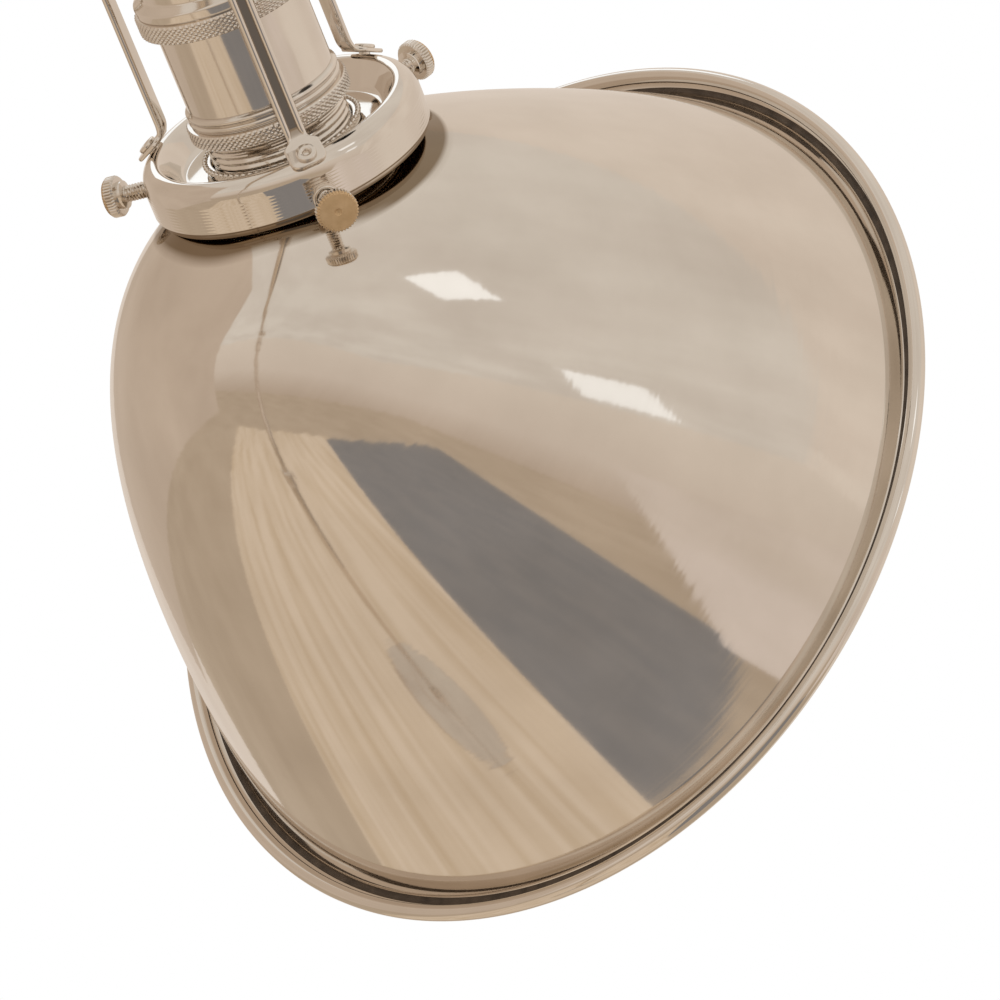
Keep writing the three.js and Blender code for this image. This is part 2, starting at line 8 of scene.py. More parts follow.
import bmesh
import bpy
import numpy as np
from mathutils import Matrix, Vector


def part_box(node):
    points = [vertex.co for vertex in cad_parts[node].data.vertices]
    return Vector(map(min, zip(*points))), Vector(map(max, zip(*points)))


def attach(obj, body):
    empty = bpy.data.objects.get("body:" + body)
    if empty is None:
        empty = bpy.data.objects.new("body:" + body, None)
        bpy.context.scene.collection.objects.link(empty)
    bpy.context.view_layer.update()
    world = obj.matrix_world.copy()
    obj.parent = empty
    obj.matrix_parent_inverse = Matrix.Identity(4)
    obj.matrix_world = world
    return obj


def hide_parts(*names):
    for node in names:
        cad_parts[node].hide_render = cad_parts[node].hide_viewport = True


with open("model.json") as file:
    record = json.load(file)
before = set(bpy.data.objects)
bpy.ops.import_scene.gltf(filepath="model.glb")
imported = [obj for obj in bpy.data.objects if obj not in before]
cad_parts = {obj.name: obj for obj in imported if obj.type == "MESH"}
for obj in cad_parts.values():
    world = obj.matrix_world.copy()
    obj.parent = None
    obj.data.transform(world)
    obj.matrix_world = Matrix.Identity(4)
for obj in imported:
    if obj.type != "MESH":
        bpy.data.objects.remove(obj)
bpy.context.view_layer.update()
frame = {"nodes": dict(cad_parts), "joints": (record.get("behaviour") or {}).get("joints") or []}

MM = 0.001
TAU = 2 * math.pi


# ---- Where things are, from the frame ----
def joint(name):
    return next(j for j in frame["joints"] if j["name"] == name)


HEAD_AT = Vector(joint("shade_turn")["pos_m"])
SOCKET_DOWN = Vector(joint("shade_turn")["axis"])
HEAD_TILT = math.atan2(SOCKET_DOWN.x, -SOCKET_DOWN.z)
KNUCKLE_AT = Vector(joint("head_tilt")["pos_m"])
ARM_AT = Vector(joint("arm_pitch")["pos_m"])
COLLAR_SCREW_AT = Vector(joint("column_screw_turn")["pos_m"])
HEAD = Matrix.Translation(HEAD_AT) @ Matrix.Rotation(-HEAD_TILT, 4, "Y")
KNUCKLE = Matrix.Translation(KNUCKLE_AT)
ARM = Matrix.Translation(ARM_AT)
ROW = Matrix.Identity(4)

KNUCKLE_RISE = (KNUCKLE_AT - HEAD_AT).length / MM
REACH = (KNUCKLE_AT.x - ARM_AT.x) / MM
ARM_END = REACH - 28
ARM_HEIGHT = ARM_AT.z / MM
POLE_TOP = ARM_HEIGHT - 50
POLE_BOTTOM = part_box("inner_pole")[0].z / MM
COLUMN_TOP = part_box("outer_column")[1].z / MM
BASE_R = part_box("base_cover")[1].x / MM
BASE_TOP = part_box("base_cover")[1].z / MM

COLUMN_R = 12.7
POLE_R = 7.94
ARM_R = 6.35
LEAD_R = 2.6
GAP = 0.3

RING_R = 34.7
RING_DEPTH = 11.1
SCREW_Z = -7.3
SCREW_R = 2.05
THREAD_R = 17.4
SOCKET_R = 18.06
SOCKET_TOP = 33
SWITCH_Z = 46
SWITCH_ANGLE = -60
HUB_Z = 60.3
HUB_RIVET_AT = 13
LEG_R = 27.5
LEG_ANGLES = [120 * i - 5.5 for i in range(3)]
FOOT_AT = 32
FOOT_Z = 2.1
FOOT_SLOPE = math.radians(31)

NECK_R = 28.3
DOME_ANGLE = math.radians(35)
DOME_FORWARD = 35.5
DOME_DOWN = 122
DOME_R = 107.5
DOME_H = 134
NOSE_BLUNT = 5
SHEET = 1.0
BEAD_R = 2.0
BEAD_CENTRE_R = 112.5
BEAD_LIFT = 0.8
DOME = (HEAD @ Matrix.Translation(Vector((DOME_FORWARD, 0, -DOME_DOWN)) * MM)
        @ Matrix.Rotation(-DOME_ANGLE, 4, "Y"))


# ---- The camera ----
VIEW_AZIMUTH = math.radians(-48.12)
VIEW_ELEVATION = math.radians(3.07)
VIEW_ROLL = math.radians(0.44)
EYE = Vector((0.05207, -0.08739, 1.20145))   # right of, below and behind the holder's lip
LENS = 184.46


def add_camera():
    data = bpy.data.cameras.new("camera")
    data.lens = LENS
    data.sensor_width = 36
    data.clip_start = 0.05
    camera = bpy.data.objects.new("camera", data)
    bpy.context.scene.collection.objects.link(camera)
    turn = (Matrix.Rotation(VIEW_AZIMUTH, 4, "Z")
            @ Matrix.Rotation(math.pi / 2 - VIEW_ELEVATION, 4, "X")
            @ Matrix.Rotation(-VIEW_ROLL, 4, "Z"))
    camera.matrix_world = Matrix.Translation(HEAD_AT) @ turn @ Matrix.Translation(EYE)
    bpy.context.scene.camera = camera


# ---- Shapes: points in millimetres and faces ----
class Shape:
    def __init__(self, points, faces):
        self.points = np.asarray(points, float)
        self.faces = [tuple(int(i) for i in face) for face in faces]

    def __add__(self, other):
        offset = len(self.points)
        shifted = [tuple(i + offset for i in face) for face in other.faces]
        return Shape(np.vstack([self.points, other.points]), self.faces + shifted)

    def moved(self, x=0, y=0, z=0):
        return Shape(self.points + np.array((x, y, z), float), self.faces)

    def turned(self, axis, degrees):
        turn = np.array(Matrix.Rotation(math.radians(degrees), 3, axis))
        return Shape(self.points @ turn.T, self.faces)

    def along_x(self):
        return self.turned("Y", 90)

    def along_y(self):
        return self.turned("X", -90)


def rounded(corners, radius=0.4, steps=4, closed=True):
    """The outline with each corner rounded, as far as its neighbours leave room."""
    points = [np.array(c[:2], float) for c in corners]
    out = []
    for i, corner in enumerate(points):
        size = corners[i][2] if len(corners[i]) > 2 else radius
        inner = closed or 0 < i < len(points) - 1
        if not inner or size <= 0 or corner[0] == 0:
            out.append(corner)
            continue
        before = points[i - 1] - corner
        after = points[(i + 1) % len(points)] - corner
        room = 0.45 * min(np.linalg.norm(before), np.linalg.norm(after))
        reach = min(size, room)
        start = corner + before / np.linalg.norm(before) * reach
        end = corner + after / np.linalg.norm(after) * reach
        for t in np.linspace(0, 1, steps + 1):
            out.append((1 - t) ** 2 * start + 2 * t * (1 - t) * corner + t ** 2 * end)
    return np.array(out)


def lathe(outline, around=96, relief=None):
    """A closed outline of (radius, height) turned about Z; relief(angle, r, z) moves it outwards."""
    outline = np.asarray(outline, float)[:, :2]
    angle = np.arange(around) * TAU / around
    r = np.repeat(outline[:, :1], around, axis=1)
    z = np.repeat(outline[:, 1:], around, axis=1)
    theta = np.repeat(angle[None, :], len(outline), axis=0)
    if relief is not None:
        r = r + relief(theta, r, z)
    points = np.stack([r * np.cos(theta), r * np.sin(theta), z], axis=-1).reshape(-1, 3)
    return Shape(points, wrapped_faces(len(outline), around))


def wrapped_faces(rows, columns, close_rows=True):
    faces = []
    for row in range(rows if close_rows else rows - 1):
        below = row * columns
        above = ((row + 1) % rows) * columns
        for i in range(columns):
            j = (i + 1) % columns
            faces.append((below + i, below + j, above + j, above + i))
    return faces


def rod(radius, bottom, top, around=64, edge=0.3):
    corners = [(0, bottom), (radius, bottom), (radius, top), (0, top)]
    return lathe(rounded(corners, edge), around)


def tube(outer, inner, bottom, top, around=96, edge=0.3):
    corners = [(inner, bottom), (outer, bottom), (outer, top), (inner, top)]
    return lathe(rounded(corners, edge), around)


def stretch(r, start, end, count):
    """Evenly spaced outline points up a straight side, for relief to work on."""
    return [(r, z, 0) for z in np.linspace(start, end, count)]


def plate(outline, y, thickness):
    """A flat plate in the XZ plane, from its outline of (x, z) points."""
    count = len(outline)
    front = [(x, y - thickness / 2, z) for x, z in outline]
    back = [(x, y + thickness / 2, z) for x, z in outline]
    faces = [tuple(range(count)), tuple(range(2 * count - 1, count - 1, -1))]
    for i in range(count):
        j = (i + 1) % count
        faces.append((j, i, count + i, count + j))
    return Shape(front + back, faces)


def arc(centre, radius, start, end, steps=24):
    angles = np.radians(np.linspace(start, end, steps + 1))
    return [(centre[0] + radius * math.cos(a), centre[1] + radius * math.sin(a)) for a in angles]


def diamond_knurl(count, pitch, depth, bottom, top):
    """Relief of a diamond knurl between two heights."""
    def relief(theta, r, z):
        u = theta * count / TAU
        v = (z - bottom) / pitch
        rising = np.abs(((u + v) % 1) - 0.5) * 2
        falling = np.abs(((u - v) % 1) - 0.5) * 2
        height = np.minimum((1 - np.maximum(rising, falling)) * 1.7, 1)
        inside = (z > bottom) & (z < top)
        return np.where(inside, (height - 1) * depth, 0)
    return relief


def screw_thread(pitch, depth, bottom, top, min_r=0.0):
    def relief(theta, r, z):
        wave = np.abs(((z / pitch - theta / TAU) % 1) - 0.5) * 2
        inside = (z > bottom) & (z < top) & (r > min_r)
        return np.where(inside, -depth * np.clip(wave * 1.4 - 0.2, 0, 1), 0)
    return relief


def flutes(count, depth, bottom, top, min_r):
    def relief(theta, r, z):
        wave = 0.5 - 0.5 * np.cos(theta * count)
        inside = (z > bottom) & (z < top) & (r > min_r)
        return np.where(inside, -depth * wave ** 2, 0)
    return relief


def together(*reliefs):
    return lambda theta, r, z: sum(relief(theta, r, z) for relief in reliefs)


# ---- From shapes to Blender objects ----
def mesh_of(shape, name):
    mesh = bpy.data.meshes.new(name)
    mesh.from_pydata((shape.points * MM).tolist(), [], shape.faces)
    work = bmesh.new()
    work.from_mesh(mesh)
    bmesh.ops.remove_doubles(work, verts=work.verts, dist=1e-6)
    bmesh.ops.dissolve_degenerate(work, edges=work.edges, dist=1e-7)
    bmesh.ops.recalc_face_normals(work, faces=work.faces)
    work.to_mesh(mesh)
    work.free()
    return mesh


def temporary(shape):
    obj = bpy.data.objects.new("temporary", mesh_of(shape, "temporary"))
    bpy.context.scene.collection.objects.link(obj)
    return obj


def carve(body, joins=(), cuts=(), bevel=0.3):
    """The body with the joins added and the cuts taken away, and its sharp edges rounded."""
    obj = temporary(body)
    tools = []
    for operation, shapes in (("UNION", joins), ("DIFFERENCE", cuts)):
        for shape in shapes:
            tool = temporary(shape)
            tools.append(tool)
            step = obj.modifiers.new("boolean", "BOOLEAN")
            step.operation = operation
            step.solver = "EXACT"
            step.object = tool
    if bevel:
        edge = obj.modifiers.new("bevel", "BEVEL")
        edge.width = bevel * MM
        edge.segments = 3
        edge.limit_method = "ANGLE"
        edge.angle_limit = math.radians(40)
    bpy.context.view_layer.update()
    graph = bpy.context.evaluated_depsgraph_get()
    mesh = obj.evaluated_get(graph).to_mesh()
    points = np.array([v.co for v in mesh.vertices]) / MM
    faces = [tuple(p.vertices) for p in mesh.polygons]
    for used in [obj, *tools]:
        data = used.data
        bpy.data.objects.remove(used)
        bpy.data.meshes.remove(data)
    return Shape(points, faces)


def piece(name, shape, body, material, place=ROW, nodes=None, sharp=38):
    """A finished object that stands for the CAD node of its name, or for the nodes given."""
    mesh = mesh_of(shape, name)
    mesh.materials.append(material)
    mesh.shade_smooth()
    mesh.set_sharp_from_angle(angle=math.radians(sharp))
    obj = bpy.data.objects.new(name, mesh)
    bpy.context.scene.collection.objects.link(obj)
    obj.matrix_world = place
    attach(obj, body)
    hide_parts(*(nodes or [name]))
    return obj


# ---- Materials ----
def new_material(name):
    material = bpy.data.materials.new(name)
    material.use_nodes = True
    tree = material.node_tree
    shader = tree.nodes["Principled BSDF"]
    return material, tree, shader


def put(tree, kind, inputs=None, **settings):
    """A node with its settings made; an input is a value or another node's output."""
    node = tree.nodes.new(kind)
    for key, value in settings.items():
        setattr(node, key, value)
    for key, value in (inputs or {}).items():
        if isinstance(value, bpy.types.NodeSocket):
            tree.links.new(value, node.inputs[key])
        else:
            node.inputs[key].default_value = value
    return node


def coordinates(tree):
    return put(tree, "ShaderNodeTexCoord").outputs["Object"]


def maths(tree, operation, a, b=0.0):
    return put(tree, "ShaderNodeMath", {0: a, 1: b}, operation=operation).outputs[0]


def noise(tree, vector, scale, detail=3.0, roughness=0.5):
    values = {"Vector": vector, "Scale": scale, "Detail": detail, "Roughness": roughness}
    return put(tree, "ShaderNodeTexNoise", values).outputs["Fac"]


def ramp(tree, factor, stops):
    node = put(tree, "ShaderNodeValToRGB", {"Fac": factor})
    elements = node.color_ramp.elements
    while len(elements) < len(stops):
        elements.new(0.5)
    for element, (position, colour) in zip(elements, stops):
        element.position = position
        element.color = (*colour, 1)
    return node.outputs["Color"]


def between(tree, factor, low, high):
    values = {"Value": factor, "To Min": low, "To Max": high}
    return put(tree, "ShaderNodeMapRange", values).outputs["Result"]


def bumps(tree, shader, layers):
    """Chains bump layers of (height, depth in metres) into the shader's normal."""
    normal = None
    for height, depth in layers:
        inputs = {"Height": height, "Distance": depth, "Strength": 1.0}
        if normal is not None:
            inputs["Normal"] = normal
        normal = put(tree, "ShaderNodeBump", inputs).outputs["Normal"]
    tree.links.new(normal, shader.inputs["Normal"])


def rings(tree, place):
    """Coordinates that are the same all the way round the object's Z axis."""
    axes = put(tree, "ShaderNodeSeparateXYZ", {0: place}).outputs
    across = maths(tree, "MULTIPLY", axes["X"], axes["X"])
    side = maths(tree, "MULTIPLY", axes["Y"], axes["Y"])
    radius = maths(tree, "SQRT", maths(tree, "ADD", across, side))
    return put(tree, "ShaderNodeCombineXYZ", {"X": radius, "Y": axes["Z"]}).outputs[0]


NICKEL_DARK = (0.74, 0.69, 0.63)
NICKEL_LIGHT = (0.82, 0.77, 0.71)
# A dark brown that paints shade into nickel: in hollows, and under the holder ring.
PAINTED_SHADE_BROWN = (0.27, 0.205, 0.14, 1)


def nickel(name, turned_lines=0.0, ripples=0.0, dullness=0.0, grain=700):
    """Polished nickel plate with faint mottling, haze and turning marks. Hollows are painted browner as
    shade. With ripples, the band marked under the holder ring is painted dark brown instead, as a reflection
    of the ring's shaded underside.
    """
    material, tree, shader = new_material(name)
    place = coordinates(tree)
    shader.inputs["Metallic"].default_value = 1.0
    mottle = noise(tree, place, 38, 4)
    plate = ramp(tree, mottle, [(0.3, NICKEL_DARK), (0.7, NICKEL_LIGHT)])
    # Painted shade: with ripples, the band marked under the holder ring; otherwise the hollows found from
    # pointiness.
    if ripples:
        painted_shade = put(tree, "ShaderNodeAttribute", attribute_name="under_ring_painted_shade").outputs["Fac"]
    else:
        bend = put(tree, "ShaderNodeNewGeometry").outputs["Pointiness"]
        hollow_shade = put(tree, "ShaderNodeMapRange", {"Value": bend, "From Min": 0.48, "From Max": 0.37})
        painted_shade = hollow_shade.outputs[0]
    plate = put(tree, "ShaderNodeMix", {0: painted_shade, 6: plate, 7: PAINTED_SHADE_BROWN}, data_type="RGBA").outputs[2]
    tree.links.new(plate, shader.inputs["Base Color"])
    haze = noise(tree, place, 160, 6, 0.65)
    low = 0.035 + dullness
    high = 0.10 + dullness
    tree.links.new(between(tree, haze, low, high), shader.inputs["Roughness"])
    layers = [(noise(tree, place, grain, 2), 0.0000012)]
    if turned_lines:
        layers.append((noise(tree, rings(tree, place), 2600, 2), turned_lines))
    if ripples:
        layers.append((noise(tree, rings(tree, place), 420, 1), ripples))
        layers.append((noise(tree, place, 24, 1), ripples * 4))
    bumps(tree, shader, layers)
    return material


def shade_paint():
    """Soft white enamel inside the shade, with a little orange peel."""
    material, tree, shader = new_material("shade_inside_enamel")
    place = coordinates(tree)
    tint = noise(tree, place, 30, 3)
    colours = [(0.3, (0.82, 0.80, 0.75)), (0.7, (0.87, 0.85, 0.81))]
    tree.links.new(ramp(tree, tint, colours), shader.inputs["Base Color"])
    tree.links.new(between(tree, noise(tree, place, 300, 3), 0.32, 0.46), shader.inputs["Roughness"])
    bumps(tree, shader, [(noise(tree, place, 900, 2), 0.00002)])
    return material


def dark_brown_nickel(name, dark, light, roughness):
    """Browner, duller nickel, to match darker places in the photograph."""
    material, tree, shader = new_material(name)
    place = coordinates(tree)
    shader.inputs["Metallic"].default_value = 0.4
    colours = ramp(tree, noise(tree, place, 260, 4), [(0.3, dark), (0.7, light)])
    tree.links.new(colours, shader.inputs["Base Color"])
    tree.links.new(between(tree, noise(tree, place, 160, 5), roughness, roughness + 0.12),
                   shader.inputs["Roughness"])
    bumps(tree, shader, [(noise(tree, place, 900, 3), 0.000004)])
    return material


def brass():
    material, tree, shader = new_material("brass")
    place = coordinates(tree)
    shader.inputs["Metallic"].default_value = 1.0
    colours = [(0.3, (0.62, 0.43, 0.17)), (0.7, (0.80, 0.60, 0.28))]
    tree.links.new(ramp(tree, noise(tree, place, 60, 4), colours), shader.inputs["Base Color"])
    tree.links.new(between(tree, noise(tree, place, 200, 5), 0.18, 0.36), shader.inputs["Roughness"])
    bumps(tree, shader, [(noise(tree, rings(tree, place), 2000, 2), 0.000006)])
    return material


def cast_iron():
    material, tree, shader = new_material("cast_iron")
    place = coordinates(tree)
    colours = [(0.3, (0.030, 0.030, 0.031)), (0.7, (0.075, 0.072, 0.07))]
    tree.links.new(ramp(tree, noise(tree, place, 90, 6, 0.7), colours), shader.inputs["Base Color"])
    tree.links.new(between(tree, noise(tree, place, 220, 4), 0.6, 0.9), shader.inputs["Roughness"])
    bumps(tree, shader, [(noise(tree, place, 700, 6, 0.7), 0.00025)])
    return material


def felt():
    material, tree, shader = new_material("felt")
    place = coordinates(tree)
    fibre = noise(tree, place, 1400, 6, 0.8)
    colours = [(0.3, (0.012, 0.012, 0.011)), (0.7, (0.05, 0.048, 0.045))]
    tree.links.new(ramp(tree, fibre, colours), shader.inputs["Base Color"])
    shader.inputs["Roughness"].default_value = 0.95
    shader.inputs["Sheen Weight"].default_value = 0.4
    bumps(tree, shader, [(fibre, 0.0004)])
    return material


def phenolic():
    """Black moulded plastic with a fine moulded grain."""
    material, tree, shader = new_material("phenolic")
    place = coordinates(tree)
    colours = [(0.35, (0.010, 0.009, 0.008)), (0.65, (0.022, 0.019, 0.017))]
    tree.links.new(ramp(tree, noise(tree, place, 120, 5), colours), shader.inputs["Base Color"])
    tree.links.new(between(tree, noise(tree, place, 260, 4), 0.28, 0.44), shader.inputs["Roughness"])
    bumps(tree, shader, [(noise(tree, place, 1500, 2), 0.00002)])
    return material


def porcelain():
    material, tree, shader = new_material("porcelain")
    place = coordinates(tree)
    colours = [(0.3, (0.78, 0.76, 0.70)), (0.7, (0.86, 0.84, 0.79))]
    tree.links.new(ramp(tree, noise(tree, place, 80, 4), colours), shader.inputs["Base Color"])
    tree.links.new(between(tree, noise(tree, place, 240, 3), 0.12, 0.3), shader.inputs["Roughness"])
    bumps(tree, shader, [(noise(tree, place, 400, 2), 0.00003)])
    return material


def frosted_glass():
    """A soft white bulb: coated glass that glows through a little."""
    material, tree, shader = new_material("frosted_glass")
    place = coordinates(tree)
    colours = [(0.3, (0.86, 0.85, 0.82)), (0.7, (0.91, 0.90, 0.87))]
    tree.links.new(ramp(tree, noise(tree, place, 70, 3), colours), shader.inputs["Base Color"])
    tree.links.new(between(tree, noise(tree, place, 500, 4), 0.14, 0.28), shader.inputs["Roughness"])
    shader.inputs["Transmission Weight"].default_value = 0.15
    shader.inputs["Subsurface Weight"].default_value = 0.3
    shader.inputs["Subsurface Scale"].default_value = 0.004
    bumps(tree, shader, [(noise(tree, place, 1200, 2), 0.00001)])
    return material


def vinyl():
    material, tree, shader = new_material("vinyl")
    place = coordinates(tree)
    colours = [(0.35, (0.016, 0.015, 0.014)), (0.65, (0.032, 0.03, 0.028))]
    tree.links.new(ramp(tree, noise(tree, place, 150, 4), colours), shader.inputs["Base Color"])
    tree.links.new(between(tree, noise(tree, place, 300, 3), 0.42, 0.6), shader.inputs["Roughness"])
    bumps(tree, shader, [(noise(tree, place, 1800, 3), 0.00004)])
    return material


DOME_NICKEL = nickel("nickel_spun_shade", ripples=0.000012)
TURNED_NICKEL = nickel("nickel_turned", turned_lines=0.000004)
PLAIN_NICKEL = nickel("nickel_polished")
SOFT_NICKEL = nickel("nickel_knurled", dullness=0.05)
BRASS = brass()
IRON = cast_iron()
FELT = felt()
PHENOLIC = phenolic()
PORCELAIN = porcelain()
GLASS = frosted_glass()
VINYL = vinyl()
ENAMEL = shade_paint()
# In the bead's groove and under the holder ring this dark brown is painted shade; the thumb screw faces are
# only made browner. Why these places are dark in the photograph is a guess: it may be a reflection there.
GROOVE_SHADE = dark_brown_nickel("nickel_groove_painted_shade", (0.035, 0.024, 0.016), (0.085, 0.062, 0.044), 0.22)
UNDERSIDE_SHADE = dark_brown_nickel("nickel_underside_painted_shade", (0.32, 0.24, 0.165), (0.44, 0.34, 0.24), 0.42)
BROWN_FACE = dark_brown_nickel("nickel_brown_face", (0.40, 0.27, 0.14), (0.50, 0.35, 0.20), 0.30)


# ---- Shade ----
def dome_depth(radius):
    return DOME_H - np.hypot(NOSE_BLUNT, DOME_H * (radius / DOME_R) ** 2)


def head_to_dome(x, y, z):
    forward = x - DOME_FORWARD
    up = z + DOME_DOWN
    cos = math.cos(DOME_ANGLE)
    sin = math.sin(DOME_ANGLE)
    return np.stack([forward * cos + up * sin, y, up * cos - forward * sin], axis=-1)


def neck_on_dome(radius, angle):
    """Heights where a cylinder about the socket axis meets the dome, found by bisection."""
    x = radius * np.cos(angle)
    y = radius * np.sin(angle)
    high = np.full_like(angle, 20.0)
    low = np.full_like(angle, -60.0)
    for _ in range(44):
        middle = (high + low) / 2
        spot = head_to_dome(x, y, middle)
        outside = spot[:, 2] > dome_depth(np.hypot(spot[:, 0], spot[:, 1]))
        high = np.where(outside, middle, high)
        low = np.where(outside, low, middle)
    return low


def dome_row(angle, part, inset):
    """A ring of dome points, part of the way from the neck to the rim."""
    start = head_to_dome(NECK_R * np.cos(angle), NECK_R * np.sin(angle), neck_on_dome(NECK_R, angle))
    across = start[:, 0] * (1 - part) + DOME_R * np.cos(angle) * part
    side = start[:, 1] * (1 - part) + DOME_R * np.sin(angle) * part
    radius = np.hypot(across, side)
    step = 0.01
    slope = (dome_depth(radius) - dome_depth(radius + step)) / step
    move = inset / np.hypot(1, slope)
    shrink = 1 - move * slope / np.maximum(radius, 1)
    return np.stack([across * shrink, side * shrink, dome_depth(radius) - move], axis=-1)


def neck_row(angle, radius, z):
    return head_to_dome(radius * np.cos(angle), radius * np.sin(angle), z + 0 * angle)


def rim_row(angle, radius, depth):
    return np.stack([radius * np.cos(angle), radius * np.sin(angle), depth + 0 * angle], axis=-1)


def add_shade():
    around = 320
    bands = 72
    angle = np.arange(around) * TAU / around
    on_dome = neck_on_dome(NECK_R, angle)
    rows = [neck_row(angle, NECK_R - SHEET, -4.2), neck_row(angle, 29.1, -4.2),
            neck_row(angle, 29.4, -4.55), neck_row(angle, 29.1, -4.9), neck_row(angle, NECK_R, -5.0)]
    rows += [dome_row(angle, part, 0) for part in np.linspace(0, 1, bands + 1)]
    rows += [rim_row(angle, DOME_R + 0.5, -0.7), rim_row(angle, DOME_R + 1.4, -1.0),
             rim_row(angle, DOME_R + 2.4, -0.8)]
    for turn in np.radians(np.linspace(205, -120, 22)):
        radius = BEAD_CENTRE_R + BEAD_R * math.cos(turn)
        rows.append(rim_row(angle, radius, BEAD_LIFT + BEAD_R * math.sin(turn)))
    rows += [rim_row(angle, DOME_R + 2.0, -1.5), rim_row(angle, DOME_R - 0.2, -1.4)]
    rows += [dome_row(angle, part, SHEET) for part in np.linspace(1, 0.02, bands)]
    rows.append(neck_row(angle, NECK_R - SHEET, on_dome - 0.9))
    shape = Shape(np.vstack(rows), wrapped_faces(len(rows), around))
    obj = piece("shade_spun_dome", shape, "shade", DOME_NICKEL, DOME, ["shade"], sharp=50)
    obj.data.materials.append(ENAMEL)
    obj.data.materials.append(GROOVE_SHADE)
    finish_shade(obj.data)
    mark_painted_shade_under_ring(obj.data)


def finish_shade(mesh):
    """Faces below the outer sheet take the enamel. The groove inside the bead takes a dark brown painted as
    shade.
    """
    for face in mesh.polygons:
        centre = face.center / MM
        radius = math.hypot(centre.x, centre.y)
        if centre.z < dome_depth(radius) - SHEET * 0.5 and radius < DOME_R:
            face.material_index = 1
        # The groove inside the bead is painted dark as shade.
        elif DOME_R + 0.6 < radius < DOME_R + 2.2 and face.normal.z > 0:
            face.material_index = 2


def mark_painted_shade_under_ring(mesh):
    """Marks the dome close under the holder ring, where a dark brown band is painted as a reflection of the
    ring's shaded underside.
    """
    spots = np.array([vertex.co for vertex in mesh.vertices]) / MM
    forward = spots[:, 0] * math.cos(DOME_ANGLE) - spots[:, 2] * math.sin(DOME_ANGLE)
    from_axis = np.hypot(forward + DOME_FORWARD, spots[:, 1])
    past_ring = 2.4
    fade = 0.9
    # Weight of the painted reflection: full within reach of the ring, fading out just past it.
    painted_shade = np.clip((RING_R + past_ring - from_axis) / fade, 0, 1)
    layer = mesh.attributes.new("under_ring_painted_shade", "FLOAT", "POINT")
    layer.data.foreach_set("value", painted_shade.astype(np.float32))


# ---- Holder ring, nuts and rivets ----
def turned_ridges(pitch, depth, bottom, top, min_r):
    """The fine grooves that a turning tool leaves on a band."""
    def relief(theta, r, z):
        wave = 0.5 - 0.5 * np.cos((z - bottom) / pitch * TAU)
        inside = (z > bottom) & (z < top) & (r > min_r)
        return np.where(inside, -depth * wave, 0)
    return relief


def add_holder_ring():
    band_bottom = -8.9
    band_top = -2.3
    outline = rounded([
        (33.2, -RING_DEPTH, 0.5), (33.9, -10.6, 0.6), (34.4, -9.4, 0.6),
        *stretch(RING_R, band_bottom, band_top, 67),
        (34, 0.2, 1.4), (32.7, 1.7, 1.4), (31, 2.5, 1.4), (29.6, 2.2, 1.2), (28.2, 0.4, 1.4),
        (25.4, -4.2, 1.4), (18.9, -4.2, 0.3), (18.9, -5.3, 0.3), (26, -5.3, 1), (29, -0.4, 1),
        (30, 1.1, 0.8), (31, 1.4, 0.8), (32, 0.8, 0.8), (33, -0.3, 1), (33.7, -2.6, 1),
        (33.7, -7, 1), (33.4, -9.4, 0.6), (32.9, -10.4, 0.3),
    ], steps=6)
    ring = lathe(outline, 256, turned_ridges(0.8, 0.03, band_bottom, band_top, RING_R - 0.1))
    for angle in LEG_ANGLES:
        boss = lathe(rounded([(2.3, 33.9), (3.1, 33.9), (3.1, 36.8), (2.3, 36.8)], 0.35), 48)
        ring = ring + boss.along_x().moved(z=SCREW_Z).turned("Z", angle)
    obj = piece("holder_ring_spun", ring, "head", PLAIN_NICKEL, HEAD, ["holder_ring"])
    obj.data.materials.append(UNDERSIDE_SHADE)
    # Underside faces and inner walls of the ring are painted dark brown as shade.
    for face in obj.data.polygons:
        centre = face.center / MM
        radius = math.hypot(centre.x, centre.y)
        outward = (face.normal.x * centre.x + face.normal.y * centre.y) / radius
        underside = face.normal.z < 0 or radius > 28.5
        if centre.z < -1 and radius < 33.95 and outward < 0.3 and underside:
            face.material_index = 1


def add_ring_nuts():
    nut = tube(19.4, THREAD_R + GAP, -3.9, -2.1, 192, 0.4)
    beads = 66
    bead = lathe([(0.72 * math.cos(t), 0.72 * math.sin(t)) for t in np.radians(np.linspace(-90, 90, 9))], 14)
    for i in range(beads):
        nut = nut + bead.moved(x=19.2, z=-2.25).turned("Z", 360 * i / beads)
    piece("upper_ring_nut_beaded", nut, "head", PLAIN_NICKEL, HEAD, ["upper_ring_nut"])
    rows = stretch(22, -8.4, -5.9, 9)
    lower = [(THREAD_R + GAP, -8.7), (21.7, -8.7), *rows, (21.7, -5.6), (THREAD_R + GAP, -5.6)]
    relief = flutes(72, 0.4, -8.5, -5.8, 21)
    nut = lathe([point[:2] for point in lower], 432, relief)
    piece("lower_ring_nut_milled", nut, "head", BRASS, HEAD, ["lower_ring_nut"])


def on_foot(shape):
    """Places a shape drawn on the flat on the ring's outer slope, under a leg's foot."""
    return shape.turned("Y", math.degrees(FOOT_SLOPE)).moved(x=FOOT_AT, z=FOOT_Z)


